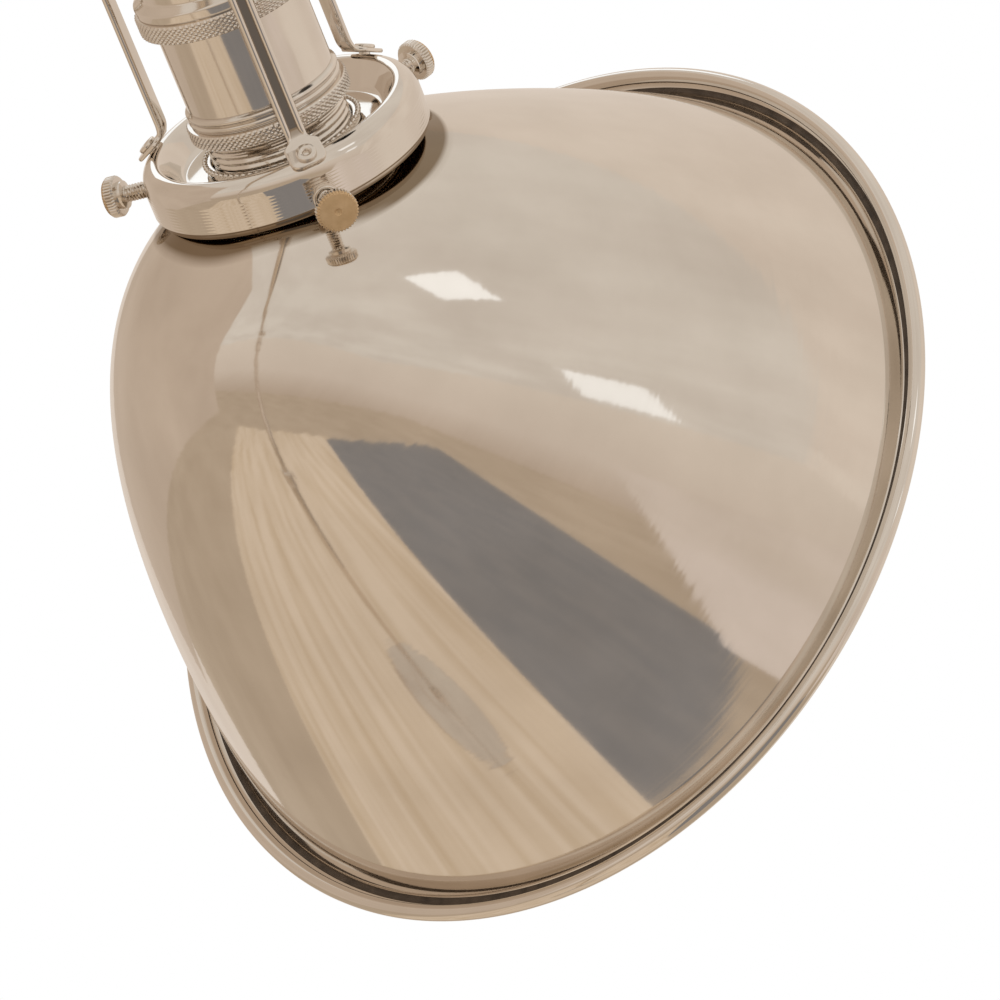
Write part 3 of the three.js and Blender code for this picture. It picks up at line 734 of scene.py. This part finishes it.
def add_rivets():
    eyelet = lathe(rounded([
        (0.7, -2.2), (1.35, -2.2, 0.2), (1.35, 1.3), (2.45, 1.3, 0.3),
        (2.45, 2.2, 0.6), (1.3, 2.35, 0.5), (0.7, 1.9, 0.4),
    ], 0.2, 6), 48)
    hub = lathe(rounded([
        (0, HUB_Z - 1.1), (2.2, HUB_Z - 1.1, 0.4), (2.2, HUB_Z - GAP), (1.2, HUB_Z - GAP),
        (1.2, HUB_Z + 4.2), (2.4, HUB_Z + 4.2, 0.2), (1.8, HUB_Z + 5.2, 0.7), (0, HUB_Z + 5.4),
    ], 0.1, 5), 40)
    for i, angle in enumerate(LEG_ANGLES, 1):
        piece(f"foot_eyelet_{i}", on_foot(eyelet).turned("Z", angle), "head", PLAIN_NICKEL,
              HEAD, [f"foot_rivet_{i}"])
        piece(f"hub_rivet_head_{i}", hub.moved(x=HUB_RIVET_AT).turned("Z", angle), "head", PLAIN_NICKEL,
              HEAD, [f"hub_rivet_{i}"])


# ---- Legs: a strip rolled into two lobes with a groove between, flattened at both ends ----
LOBE_R = 0.8
LOBE_AT = 1.7
FOOT_WIDTH = 8.8
FOOT_THICK = 1.0
LOBE_STEPS = 18


def lobed_section():
    right = arc((LOBE_AT, 0), LOBE_R, -90, 200, LOBE_STEPS)
    left = arc((-LOBE_AT, 0), LOBE_R, -20, 270, LOBE_STEPS)
    return np.array(right + left)


def flat_section(width, thickness):
    """The same number of points as the lobed section, round a flat bar with soft edges."""
    half = width / 2
    edge = thickness / 2
    right = arc((half - edge, 0), edge, -90, 90, LOBE_STEPS)
    left = arc((edge - half, 0), edge, 90, 270, LOBE_STEPS)
    return np.array(right + left)


def leg_path():
    """Centre line of a leg from the hub down to the toe, as (radius, height) points."""
    top = HUB_Z + 2 + GAP + 0.8
    cos = math.cos(FOOT_SLOPE)
    sin = math.sin(FOOT_SLOPE)

    def foot(x):
        lift = GAP + FOOT_THICK / 2
        return (FOOT_AT + x * cos + lift * sin, FOOT_Z - x * sin + lift * cos)

    corners = [(10, top), (LEG_R, top, 4), (LEG_R, 7.4, 2.4), (*foot(-4.4), 0.8), foot(3.1)]
    bends = rounded(corners, 1, 10, closed=False)
    return resampled(bends, 0.35)


def resampled(points, spacing):
    lengths = np.concatenate([[0], np.cumsum(np.linalg.norm(np.diff(points, axis=0), axis=1))])
    stations = np.linspace(0, lengths[-1], int(lengths[-1] / spacing) + 1)
    columns = [np.interp(stations, lengths, points[:, i]) for i in range(2)]
    return np.stack(columns, axis=-1)


def smooth_step(value, start, end):
    t = np.clip((value - start) / (end - start), 0, 1)
    return t * t * (3 - 2 * t)


def holder_leg():
    path = leg_path()
    tangent = np.gradient(path, axis=0)
    tangent /= np.linalg.norm(tangent, axis=1, keepdims=True)
    run = np.concatenate([[0], np.cumsum(np.linalg.norm(np.diff(path, axis=0), axis=1))])
    to_end = run[-1] - run
    lobed = lobed_section()
    rows = []
    corner = 2.2
    for spot, along, start, left in zip(path, tangent, run, to_end):
        width = 5 + (FOOT_WIDTH - 5) * (1 - smooth_step(left, 6.2, 8.6))
        if left < corner:
            width -= 2 * (corner - math.sqrt(max(corner ** 2 - (corner - left) ** 2, 0)))
        thick = FOOT_THICK + 0.6 * float(smooth_step(left, 5.5, 8))
        flatness = max(1 - smooth_step(left, 7.6, 10.5), 1 - smooth_step(start, 12, 15))
        section = lobed * (1 - flatness) + flat_section(width, thick) * flatness
        normal = (-along[1], along[0])
        x = spot[0] + section[:, 1] * normal[0]
        z = spot[1] + section[:, 1] * normal[1]
        rows.append(np.stack([x, section[:, 0], z], axis=-1))
    columns = len(lobed)
    faces = wrapped_faces(len(rows), columns, close_rows=False)
    last = (len(rows) - 1) * columns
    faces.append(tuple(range(columns)))
    faces.append(tuple(range(last + columns - 1, last - 1, -1)))
    return Shape(np.vstack(rows), faces)


def add_legs():
    leg = holder_leg()
    for i, angle in enumerate(LEG_ANGLES, 1):
        piece(f"holder_leg_rolled_{i}", leg.turned("Z", angle), "head", PLAIN_NICKEL, HEAD,
              [f"holder_leg_{i}"], sharp=60)


# ---- Thumb screws ----
def thumb_screw(reach, radius, bottom, top, shoulder_r, count):
    """A threaded shank from `reach` up to a shoulder and a milled round head with a dimple."""
    neck = bottom - 1.5
    outline = [(0, reach), (SCREW_R - 0.6, reach), *stretch(SCREW_R, reach + 0.7, neck - 0.4, 70),
               (SCREW_R, neck), (shoulder_r, neck + 0.3), (shoulder_r, bottom - 0.1)]
    side = stretch(radius, bottom + 0.5, top - 0.7, 8)
    outline += [(radius - 0.45, bottom), *side, (radius - 0.6, top - 0.05), (radius - 0.9, top)]
    outline += [(0.9, top), (0.6, top - 0.3), (0, top - 0.45)]
    relief = together(
        screw_thread(0.8, 0.28, reach + 0.6, neck - 0.3),
        flutes(count, 0.3, bottom + 0.4, top - 0.6, shoulder_r + 0.3),
    )
    return lathe([point[:2] for point in outline], count * 6, relief)


def add_thumb_screws():
    brown_from = 46.9
    screw = thumb_screw(NECK_R + 0.4, 5, 44.4, 47.5, 3.4, 40).along_x().moved(z=SCREW_Z)
    for i, angle in enumerate(LEG_ANGLES, 1):
        obj = piece(f"thumb_screw_milled_{i}", screw.turned("Z", angle), f"thumb_screw_{i}", TURNED_NICKEL,
                    HEAD, [f"thumb_screw_{i}"])
        obj.data.materials.append(BROWN_FACE)
        # The outer face of each screw head is made browner and duller.
        for face in obj.data.polygons:
            centre = face.center / MM
            face.material_index = 1 if math.hypot(centre.x, centre.y) > brown_from else 0
    clamp = thumb_screw(POLE_R + 0.4, 8.5, 22.4, 28, 4.5, 48).turned("X", 90)
    place = Matrix.Translation(COLLAR_SCREW_AT)
    piece("column_screw_milled", clamp, "column_screw", TURNED_NICKEL, place, ["column_screw"])


# ---- Lamp socket ----
KNURLS = 84


def add_socket():
    around = KNURLS * 6
    shell = [(16.2, -15), (17.0, -15), *stretch(THREAD_R, -14.6, 4.2, 96), (THREAD_R - 0.3, 4.4),
             (19.3, 4.4), (19.8, 4.7), *stretch(20, 4.9, 7.9, 22), (19.6, 8.3), (18.6, 8.5)]
    for middle in (9.4, 11.1):
        shell += arc((18.2, middle), 0.75, -70, 70, 8)
    shell += rounded([(18.0, 12.2), (SOCKET_R, 12.5), (SOCKET_R, SOCKET_TOP), (16.2, SOCKET_TOP)], 0.2,
                     closed=False).tolist()
    relief = together(
        diamond_knurl(KNURLS, 1.05, 0.38, 4.85, 7.95),
        screw_thread(1.6, 0.5, -14.5, 4.1, 16.8),
    )
    shape = lathe([point[:2] for point in shell], around, relief)
    piece("socket_shell_knurled", shape, "head", SOFT_NICKEL, HEAD, ["socket_shell"], sharp=32)
    base = SOCKET_TOP + GAP
    cap = [(17, base), (20.8, base), *stretch(21.3, base + 0.35, 37.5, 32), (20.9, 37.9)]
    cap += rounded([(20.3, 38.1), (20.6, 38.5), (20.6, 40.4), (18.4, 42), (18.2, 50, 4), (15, 54.4, 3),
                    (8, 57, 1.5), (8, HUB_Z - GAP), (5.1, HUB_Z - GAP), (5.1, 55), (14, 53), (17, 49.4)],
                   0.5, 6, closed=False).tolist()
    relief = diamond_knurl(KNURLS, 1.05, 0.38, base + 0.3, 37.6)
    shape = lathe([point[:2] for point in cap], around, relief)
    piece("socket_cap_knurled", shape, "head", SOFT_NICKEL, HEAD, ["socket_cap"], sharp=32)


def add_switch_and_bulb():
    side = stretch(6.2, 23.4, 30.4, 10)
    knob = [(0, 13.6), (2, 13.6), (2, 19.4), (3.6, 19.6), (3.6, 22.6), (5.8, 22.8), *side, (5.7, 31.1),
            (5.2, 31.4), (2.2, 31.4), (1.9, 31.1), (0, 31.0)]
    relief = flutes(18, 0.55, 23.2, 30.6, 5)
    shape = lathe([point[:2] for point in knob], 216, relief).along_x().moved(z=SWITCH_Z)
    piece("switch_knob_fluted", shape.turned("Z", SWITCH_ANGLE), "switch_knob", PHENOLIC,
          HEAD, ["switch_knob"])
    wall = 1.2
    outer = [(13, -14.6), (13.4, -22, 12), (17, -34, 12), (28, -58, 14), (30, -70, 12), (27.6, -82, 12),
             (18, -95.6, 10), (0, -100)]
    inner = [(0, -100 + wall), (17.4, -94.4, 9), (26.4, -81.6, 11), (30 - wall, -70, 11),
             (26.8, -58.6, 13), (16, -34.8, 11), (12.2, -22.4, 11), (11.8, -14.6)]
    bulb = lathe(rounded(outer + inner, 0.2, 10), 160)
    piece("bulb_glass_envelope", bulb, "head", GLASS, HEAD, ["bulb_glass"])
    cap = [(0, 15.6), (3.8, 15.6), (4.6, 14.6), (12.6, 12), *stretch(12.9, 11.6, -9, 90),
           (12.9, -14.2), (0, -14.2)]
    relief = screw_thread(3.6, 0.9, -8.8, 11.4, 12)
    piece("bulb_cap_threaded", lathe([point[:2] for point in cap], 128, relief), "head", BRASS,
          HEAD, ["bulb_cap"])


# ---- Hub, coupling and knuckle ----
def add_hub():
    hub = lathe(rounded([(5.1, HUB_Z), (16, HUB_Z), (16, HUB_Z + 2), (5.1, HUB_Z + 2)], 0.5, 6), 128)
    piece("spider_hub_disc", hub, "head", TURNED_NICKEL, HEAD, ["spider_hub"])
    z = KNUCKLE_RISE
    foot = lathe(rounded([
        (0, 62.6), (8, 62.6), (8.6, 63.6), (8.6, 66.4), (7.6, 67.4), (7.6, 69), (6, 72), (0, 72),
    ], 0.5, 5), 96)
    eye = [(-4.5, 70), (4.5, 70), (4.5, z - 5.4), *arc((0, z), 7, -45, 225, 40), (-4.5, z - 5.4)]
    holes = [rod(5.1, 60, 69.4, edge=0), rod(2.8, -10, 10, edge=0).along_y().moved(z=z)]
    coupling = carve(foot, [plate(eye, 0, 6.6)], holes)
    piece("head_coupling_eye", coupling, "head", PLAIN_NICKEL, HEAD, ["head_coupling"])


def fork(body_r, bottom, top, bore_r, bore_top, ear_r, slot, ear, pivot_z, pin_r):
    """A round body with two ears around a pivot along Y, drawn up its own Z axis."""
    body = rod(body_r, bottom, top, 96, 0.8)
    outline = [(-ear_r, top - 2), (ear_r, top - 2), *arc((0, pivot_z), ear_r, 0, 180, 40)]
    ears = [plate(outline, side * (slot + ear) / 2, ear) for side in (1, -1)]
    bore = rod(bore_r, bottom - 1, bore_top, edge=0)
    pin = rod(pin_r, -30, 30, edge=0).along_y().moved(z=pivot_z)
    return carve(body, ears, [bore, pin], 0.5)


def pivot_bolt(pin_r, head_r, grip):
    half = grip / 2
    threaded = stretch(pin_r - 0.5, -half - 8.4, -half - 0.6, 40)
    outline = [(0, -half - 9), (pin_r - 1.0, -half - 9), *threaded, (pin_r - 0.3, -half - 0.2),
               (pin_r - 0.3, half + 0.3), (head_r, half + 0.3), (head_r, half + 2.2)]
    outline += arc((0, half + 0.6), 3.6, 40, 90, 8)
    relief = screw_thread(0.8, 0.28, -half - 8.3, -half - 0.7)
    bolt = lathe([point[:2] for point in outline], 96, relief)
    slot = plate([(-head_r - 1, half + 3.4), (head_r + 1, half + 3.4), (head_r + 1, half + 6),
                  (-head_r - 1, half + 6)], 0, 1)
    return carve(bolt, (), [slot], 0).along_y()


def pivot_knob(pin_r, knob_r, grip):
    face = grip / 2 + 0.4
    side = stretch(knob_r, face + 4.2, face + 9.4, 10)
    outline = [(pin_r - 0.2, face), (knob_r * 0.62, face), (knob_r * 0.62, face + 2.8),
               (knob_r - 1.2, face + 3.0), (knob_r - 0.5, face + 3.4), *side, (knob_r - 0.9, face + 10.2),
               (knob_r - 2, face + 10.6), (2.2, face + 10.6), (1.7, face + 10.2), (0, face + 10.0),
               (0, face + 9.2), (pin_r - 0.2, face + 9.2)]
    relief = flutes(28, 0.5, face + 4, face + 9.6, knob_r * 0.8)
    return lathe([point[:2] for point in outline], 28 * 8, relief).turned("X", 90)


def add_knuckle():
    slot, ear, pin_r = 7.2, 3.4, 2.8
    grip = slot + 2 * ear
    length = REACH - ARM_END - 4
    shape = fork(8.6, -length, -10, 4.7, -length + 10, 7.8, slot, ear, 0, pin_r).along_x()
    piece("knuckle_fork_turned", shape, "knuckle", PLAIN_NICKEL, KNUCKLE, ["knuckle_fork"])
    piece("knuckle_bolt_slotted", pivot_bolt(pin_r, 5.4, grip), "knuckle", PLAIN_NICKEL,
          KNUCKLE, ["knuckle_bolt"])
    piece("knuckle_knob_fluted", pivot_knob(pin_r, 7.4, grip), "knuckle_knob", TURNED_NICKEL,
          KNUCKLE, ["knuckle_knob"])


# ---- Arm ----
def add_arm():
    blade = [(20, -5.4), (20, 5.4), *arc((0, 0), 8.6, 90, 270, 40)]
    socket = lathe(rounded([(0, 14), (7, 14), (8.4, 15.4), (8.4, 34), (7.6, 35), (0, 35)], 0.6, 6), 96)
    cuts = [rod(ARM_R + GAP, 20, 40, edge=0).along_x(), rod(3.3, -12, 12, edge=0).along_y()]
    tongue = carve(socket.along_x(), [plate(blade, 0, 10)], cuts, 0.5)
    piece("arm_tongue_eye", tongue, "arm", PLAIN_NICKEL, ARM, ["arm_tongue"])
    bar = tube(ARM_R, ARM_R - 1.2, 20.4, ARM_END, 128).along_x()
    piece("arm_tube_polished", bar, "arm", PLAIN_NICKEL, ARM, ["arm_tube"])
    collar = lathe(rounded([
        (ARM_R + GAP, ARM_END - 16), (9.2, ARM_END - 16), (9.2, ARM_END - 12), (8.6, ARM_END - 11),
        (8.6, ARM_END + 2.4), (7.6, ARM_END + 3.6), (4.4, ARM_END + 3.6), (4.4, ARM_END + 13),
        (LEAD_R + 0.5, ARM_END + 13), (LEAD_R + 0.5, ARM_END + GAP), (ARM_R + GAP, ARM_END + GAP),
    ], 0.4, 5), 128)
    piece("arm_end_collar_turned", collar.along_x(), "arm", PLAIN_NICKEL, ARM, ["arm_end_collar"])
    slot, ear, pin_r = 11, 4, 3.3
    grip = slot + 2 * ear
    bottom = POLE_TOP + 14 - ARM_HEIGHT
    shape = fork(11, bottom, -16, 5.3, POLE_TOP + 28 - ARM_HEIGHT, 9.4, slot, ear, 0, pin_r)
    piece("arm_fork_turned", shape, "arm_fork", PLAIN_NICKEL, ARM, ["arm_fork"])
    piece("arm_bolt_slotted", pivot_bolt(pin_r, 7, grip), "arm_fork", PLAIN_NICKEL, ARM,
          ["arm_bolt"])
    piece("arm_knob_fluted", pivot_knob(pin_r, 11, grip), "arm_knob", TURNED_NICKEL, ARM,
          ["arm_knob"])


# ---- Pole and column ----
def add_pole():
    pole = tube(POLE_R, POLE_R - 1.2, POLE_BOTTOM, POLE_TOP, 128)
    piece("inner_pole_polished", pole, "pole", PLAIN_NICKEL, nodes=["inner_pole"])
    foot = POLE_TOP - 18
    post = lathe(rounded([
        (POLE_R + GAP, foot), (11.6, foot), (11.6, foot + 6), (10.4, foot + 7.6), (10.4, POLE_TOP + 5),
        (12, POLE_TOP + 7), (12, POLE_TOP + 12), (10, POLE_TOP + 13.6), (5, POLE_TOP + 13.6),
        (5, POLE_TOP + 27), (LEAD_R + 0.6, POLE_TOP + 27), (LEAD_R + 0.6, POLE_TOP + 4),
        (6.4, POLE_TOP + GAP), (POLE_R + GAP, POLE_TOP + GAP),
    ], 0.6, 6), 128)
    piece("swivel_post_turned", post, "pole", TURNED_NICKEL, nodes=["swivel_post"])


def add_column():
    column = tube(COLUMN_R, COLUMN_R - 1.4, 45.4, COLUMN_TOP, 160)
    piece("outer_column_polished", column, "base", PLAIN_NICKEL, nodes=["outer_column"])
    top = COLUMN_TOP + 22
    bore = POLE_R + 0.25
    outline = rounded([
        (13, COLUMN_TOP - 16), (16.4, COLUMN_TOP - 16), (16.4, COLUMN_TOP - 9), (15.4, COLUMN_TOP - 7),
        (15.4, COLUMN_TOP + 2), (17, COLUMN_TOP + 4), (17, top - 4), (14, top - 1), (11, top),
        (bore, top), (bore, COLUMN_TOP + 0.4), (13, COLUMN_TOP + 0.4),
    ], 0.7, 6)
    hole = rod(2.4, -24, -6, edge=0).along_y().moved(z=COLLAR_SCREW_AT.z / MM)
    collar = carve(lathe(outline, 160), (), [hole], 0)
    piece("column_collar_turned", collar, "base", TURNED_NICKEL, nodes=["column_collar"])
    foot = lathe(rounded([
        (6.4, BASE_TOP + GAP), (24, BASE_TOP + GAP), (25, 29), (24.4, 31), (18, 35.6, 2.5), (16.4, 45, 2),
        (18, 46.6), (18, 48.8), (16.4, 50.4), (16.2, 57), (15, 58.4), (13, 58.4), (13, 45), (6.4, 45),
    ], 0.7, 6), 160)
    piece("column_foot_turned", foot, "base", TURNED_NICKEL, nodes=["column_foot"])


# ---- Base ----
def add_base():
    rim = BASE_R
    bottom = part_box("base_cover")[0].z / MM
    outline = rounded([
        (rim, bottom, 0.3), (rim, 10, 2.5), (rim - 2, 13.4, 2), (rim - 9, 15, 4), (61, 21, 4), (58, 24.6, 2),
        (22, BASE_TOP, 3), (7, BASE_TOP), (7, BASE_TOP - 1.6), (22, BASE_TOP - 1.6), (57, 23), (60, 19.4),
        (rim - 9, 13.4), (rim - 3.4, 12), (rim - 1.6, 9), (rim - 1.6, bottom),
    ], 0.6, 8)
    hole = rod(6.3, -rim - 4, -rim + 10, edge=0).along_x().moved(z=8.6)
    cover = carve(lathe(outline, 320), (), [hole], 0)
    piece("base_cover_spun", cover, "base", nickel("nickel_spun_base", ripples=0.000002),
          nodes=["base_cover"])
    pad = lathe(rounded([(0, 0), (rim - 4, 0), (rim - 4, 2), (0, 2)], 0.7, 5), 256)
    piece("base_felt_pad", pad, "base", FELT, nodes=["base_felt"])
    sleeve = lathe(rounded([
        (LEAD_R + 0.4, -rim - 5), (6, -rim - 5), (8, -rim - 3), (8, -rim - 0.4), (5.9, -rim - 0.4),
        (5.9, -rim + 3.5), (LEAD_R + 0.4, -rim + 3.5),
    ], 0.6, 5), 96)
    piece("cord_bushing_moulded", sleeve.along_x().moved(z=8.6), "base", PHENOLIC,
          nodes=["cord_bushing"])


HIDDEN_FINISH = {
    "base_weight": IRON, "base_lead": VINYL, "base_lock_nut": BRASS, "column_nipple": BRASS,
    "pole_bush": PHENOLIC, "pole_lead": VINYL, "arm_lead": VINYL, "head_nipple": BRASS,
    "socket_insulator": PORCELAIN, "screw_shell": BRASS, "centre_contact": BRASS,
    "switch_body": PHENOLIC,
}


def finish_hidden_nodes():
    for name, material in HIDDEN_FINISH.items():
        mesh = frame["nodes"][name].data
        mesh.materials.clear()
        mesh.materials.append(material)


# ---- The studio ----
def linear(colour):
    return [c / 12.92 if c <= 0.04045 else ((c + 0.055) / 1.055) ** 2.4 for c in colour]


def seen_in_nickel(colour):
    """The light that polished nickel reflects as this sRGB colour."""
    plate = [(a + b) / 2 for a, b in zip(NICKEL_DARK, NICKEL_LIGHT)]
    return [value / tint for value, tint in zip(linear(colour), plate)]


def glow(name, colour, streak=None, streak_scale=(1, 1, 1), streak_at=(0.35, 0.65)):
    """An even glow, or two mixed in streaks along the card."""
    material = bpy.data.materials.new(name)
    material.use_nodes = True
    tree = material.node_tree
    tree.nodes.clear()
    light = put(tree, "ShaderNodeEmission", {"Color": (*seen_in_nickel(colour), 1)})
    if streak is not None:
        place = coordinates(tree)
        scaled = put(tree, "ShaderNodeMapping", {"Vector": place, "Scale": streak_scale}).outputs[0]
        pattern = noise(tree, scaled, 1.0, 3)
        stops = [(streak_at[0], seen_in_nickel(colour)), (streak_at[1], seen_in_nickel(streak))]
        tree.links.new(ramp(tree, pattern, stops), light.inputs["Color"])
    end = put(tree, "ShaderNodeOutputMaterial")
    tree.links.new(light.outputs[0], end.inputs["Surface"])
    return material


def card(name, corners, material):
    """A plain glowing card that shows only in glossy reflections."""
    mesh = bpy.data.meshes.new(name)
    mesh.from_pydata([tuple(c) for c in corners], [], [tuple(range(len(corners)))])
    mesh.materials.append(material)
    obj = bpy.data.objects.new(name, mesh)
    bpy.context.scene.collection.objects.link(obj)
    for rays in ("camera", "diffuse", "shadow", "transmission", "volume_scatter"):
        setattr(obj, f"visible_{rays}", False)


SHADE_LOW, SHADE_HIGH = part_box("shade")
CENTRE = (SHADE_LOW + SHADE_HIGH) / 2
FLOOR_DROP = CENTRE.z + 0.01
CEILING_RISE = 1.7


def on_floor(x, y, lift=0.0):
    """A place on the studio floor, in heights of the shade away from the point under it."""
    drop = FLOOR_DROP - lift
    return (CENTRE.x + x * drop, CENTRE.y + y * drop, CENTRE.z - drop)


def on_ceiling(x, y, lower=0.0):
    rise = CEILING_RISE - lower
    return (CENTRE.x + x * rise, CENTRE.y + y * rise, CENTRE.z + rise)


def toward(azimuth, elevation, distance):
    """A place in a compass direction from the shade, in degrees."""
    a = math.radians(azimuth)
    e = math.radians(elevation)
    flat = distance * math.cos(e)
    return (CENTRE.x + flat * math.cos(a), CENTRE.y + flat * math.sin(a), CENTRE.z + distance * math.sin(e))


def add_floor_cards():
    """Plain cards low down: a wide pale one, a light board and a grey one that gives contrast."""
    grey = glow("card_grey", (0.475, 0.45, 0.43), (0.50, 0.47, 0.445), (6, 6, 6))
    board = glow("card_light_board", (0.78, 0.695, 0.60), (0.70, 0.605, 0.49), (1.1, 14, 1), (0.4, 0.75))
    sand = glow("card_sand", (0.68, 0.60, 0.51), (0.65, 0.57, 0.48), (2, 2, 2))
    card("floor_sand", [on_floor(-6, -6), on_floor(6, -6), on_floor(6, 6), on_floor(-6, 6)], sand)
    card("floor_board", [on_floor(-2.6, -1, 0.004), on_floor(0.3, -0.25, 0.004),
                         on_floor(0.3, 1, 0.004), on_floor(-2.5, 0.75, 0.004)], board)
    card("floor_grey", [on_floor(-0.3, -0.4, 0.008), on_floor(-2.5, -0.9, 0.008),
                        on_floor(-3, -3.5, 0.008), on_floor(-0.4, -2, 0.008)], grey)


def add_ceiling_cards():
    ceiling = glow("card_ceiling", (0.755, 0.70, 0.64), (0.79, 0.74, 0.68), (0.9, 0.9, 0.9))
    panel = glow("card_panel", (0.95, 0.92, 0.88))
    card("ceiling_main", [on_ceiling(-4, -4), on_ceiling(0.66, -4), on_ceiling(0.66, 4),
                          on_ceiling(-4, 4)], ceiling)
    card("ceiling_panel", [on_ceiling(-0.5, -1.2, 0.03), on_ceiling(-0.2, -1.2, 0.03),
                           on_ceiling(-0.2, -0.85, 0.03), on_ceiling(-0.5, -0.85, 0.03)], panel)


def add_wall_cards():
    wall = glow("card_wall", (0.78, 0.71, 0.64), (0.81, 0.745, 0.675), (1, 1, 1))
    shaded = glow("card_shaded_wall", (0.68, 0.60, 0.52), (0.72, 0.64, 0.56), (0.8, 0.8, 0.8))
    far = glow("card_far_wall", (0.75, 0.68, 0.61), (0.79, 0.72, 0.66), (2, 2, 2))
    panel = glow("card_side_panel", (0.93, 0.90, 0.86))
    softbox = glow("card_softbox", (0.98, 0.97, 0.95))
    wall_x = 0.66 * CEILING_RISE / FLOOR_DROP
    card("wall_right", [on_floor(wall_x, -5), on_floor(wall_x, 5), on_ceiling(0.66, 4), on_ceiling(0.66, -4)],
         wall)
    for name, (west, east), (low, high), distance, material in (
            ("wall_shaded", (60, 155), (-16, 36), 3, shaded),
            ("wall_far", (-103, -62), (-28, 0), 2, far),
            ("side_panel", (-100, -90), (15, 21), 3, panel),
            ("softbox_behind", (55, 85), (32, 60), 1.5, softbox)):
        card(name, [toward(west, low, distance), toward(east, low, distance),
                    toward(east, high, distance), toward(west, high, distance)], material)


def add_world():
    world = bpy.data.worlds.new("studio")
    bpy.context.scene.world = world
    world.use_nodes = True
    tree = world.node_tree
    tree.nodes.clear()
    direction = put(tree, "ShaderNodeTexCoord").outputs["Generated"]
    height = put(tree, "ShaderNodeSeparateXYZ", {0: direction}).outputs["Z"]
    level = between(tree, height, 0.0, 1.0)
    tree.nodes[-1].inputs["From Min"].default_value = -1.0
    heights = ((0.42, (0.68, 0.60, 0.52)), (0.5, (0.76, 0.69, 0.62)), (0.75, (0.80, 0.74, 0.67)))
    room = ramp(tree, level, [(stop, seen_in_nickel(colour)) for stop, colour in heights])
    around = put(tree, "ShaderNodeBackground", {"Color": room, "Strength": 1.0}).outputs[0]
    white = put(tree, "ShaderNodeBackground", {"Color": (1, 1, 1, 1), "Strength": 1.0}).outputs[0]
    seen = put(tree, "ShaderNodeLightPath").outputs["Is Camera Ray"]
    mixed = put(tree, "ShaderNodeMixShader", {0: seen, 1: around, 2: white}).outputs[0]
    end = put(tree, "ShaderNodeOutputWorld")
    tree.links.new(mixed, end.inputs["Surface"])


def add_light(name, place, size, power):
    data = bpy.data.lights.new(name, "AREA")
    data.shape = "DISK"
    data.size = size
    data.energy = power
    data.color = (1.0, 0.97, 0.93)
    lamp = bpy.data.objects.new(name, data)
    bpy.context.scene.collection.objects.link(lamp)
    lamp.location = place
    aim = Vector((0.2, 0, 0.7)) - Vector(place)
    lamp.rotation_euler = aim.to_track_quat("-Z", "Y").to_euler()
    lamp.visible_glossy = False


def add_floor():
    radius = 3.2
    rings_of = [radius * t for t in (0.25, 0.5, 0.75, 1)]
    around = 96
    points = [(0, 0, 0)]
    for ring in rings_of:
        points += [(ring * math.cos(TAU * i / around), ring * math.sin(TAU * i / around), 0)
                   for i in range(around)]
    faces = [(0, 1 + i, 1 + (i + 1) % around) for i in range(around)]
    for k in range(len(rings_of) - 1):
        low = 1 + k * around
        high = low + around
        faces += [(low + i, high + i, high + (i + 1) % around, low + (i + 1) % around)
                  for i in range(around)]
    mesh = bpy.data.meshes.new("floor")
    mesh.from_pydata(points, [], faces)
    floor = bpy.data.objects.new("floor", mesh)
    bpy.context.scene.collection.objects.link(floor)
    floor.visible_glossy = False
    material, tree, shader = new_material("pale_floor")
    place = coordinates(tree)
    tint = noise(tree, place, 5, 4)
    tree.links.new(ramp(tree, tint, [(0.3, (0.70, 0.73, 0.76)), (0.7, (0.73, 0.76, 0.79))]),
                   shader.inputs["Base Color"])
    shader.inputs["Roughness"].default_value = 0.8
    distance = put(tree, "ShaderNodeVectorMath", {0: place}, operation="LENGTH").outputs["Value"]
    fade = put(tree, "ShaderNodeMapRange", {"Value": distance, "From Min": 1.2, "From Max": radius * 0.96})
    from_below = put(tree, "ShaderNodeNewGeometry").outputs["Backfacing"]
    clear = put(tree, "ShaderNodeBsdfTransparent").outputs[0]
    share = maths(tree, "MAXIMUM", fade.outputs[0], from_below)
    mixed = put(tree, "ShaderNodeMixShader", {0: share, 1: shader.outputs[0], 2: clear})
    tree.links.new(mixed.outputs[0], tree.nodes["Material Output"].inputs["Surface"])
    mesh.materials.append(material)


def add_studio():
    bpy.context.scene.view_settings.view_transform = "Standard"
    add_world()
    add_floor()
    add_floor_cards()
    add_ceiling_cards()
    add_wall_cards()
    add_light("key_light", (-1.8, -2.4, 3.2), 2.2, 60)
    add_light("fill_light", (2.4, -1.6, 2.4), 2.0, 30)
    add_light("back_light", (-0.8, 2.8, 2.8), 2.0, 25)


# ---- Everything ----
add_camera()
add_shade()
add_holder_ring()
add_ring_nuts()
add_rivets()
add_legs()
add_thumb_screws()
add_socket()
add_switch_and_bulb()
add_hub()
add_knuckle()
add_arm()
add_pole()
add_column()
add_base()
finish_hidden_nodes()
add_studio()
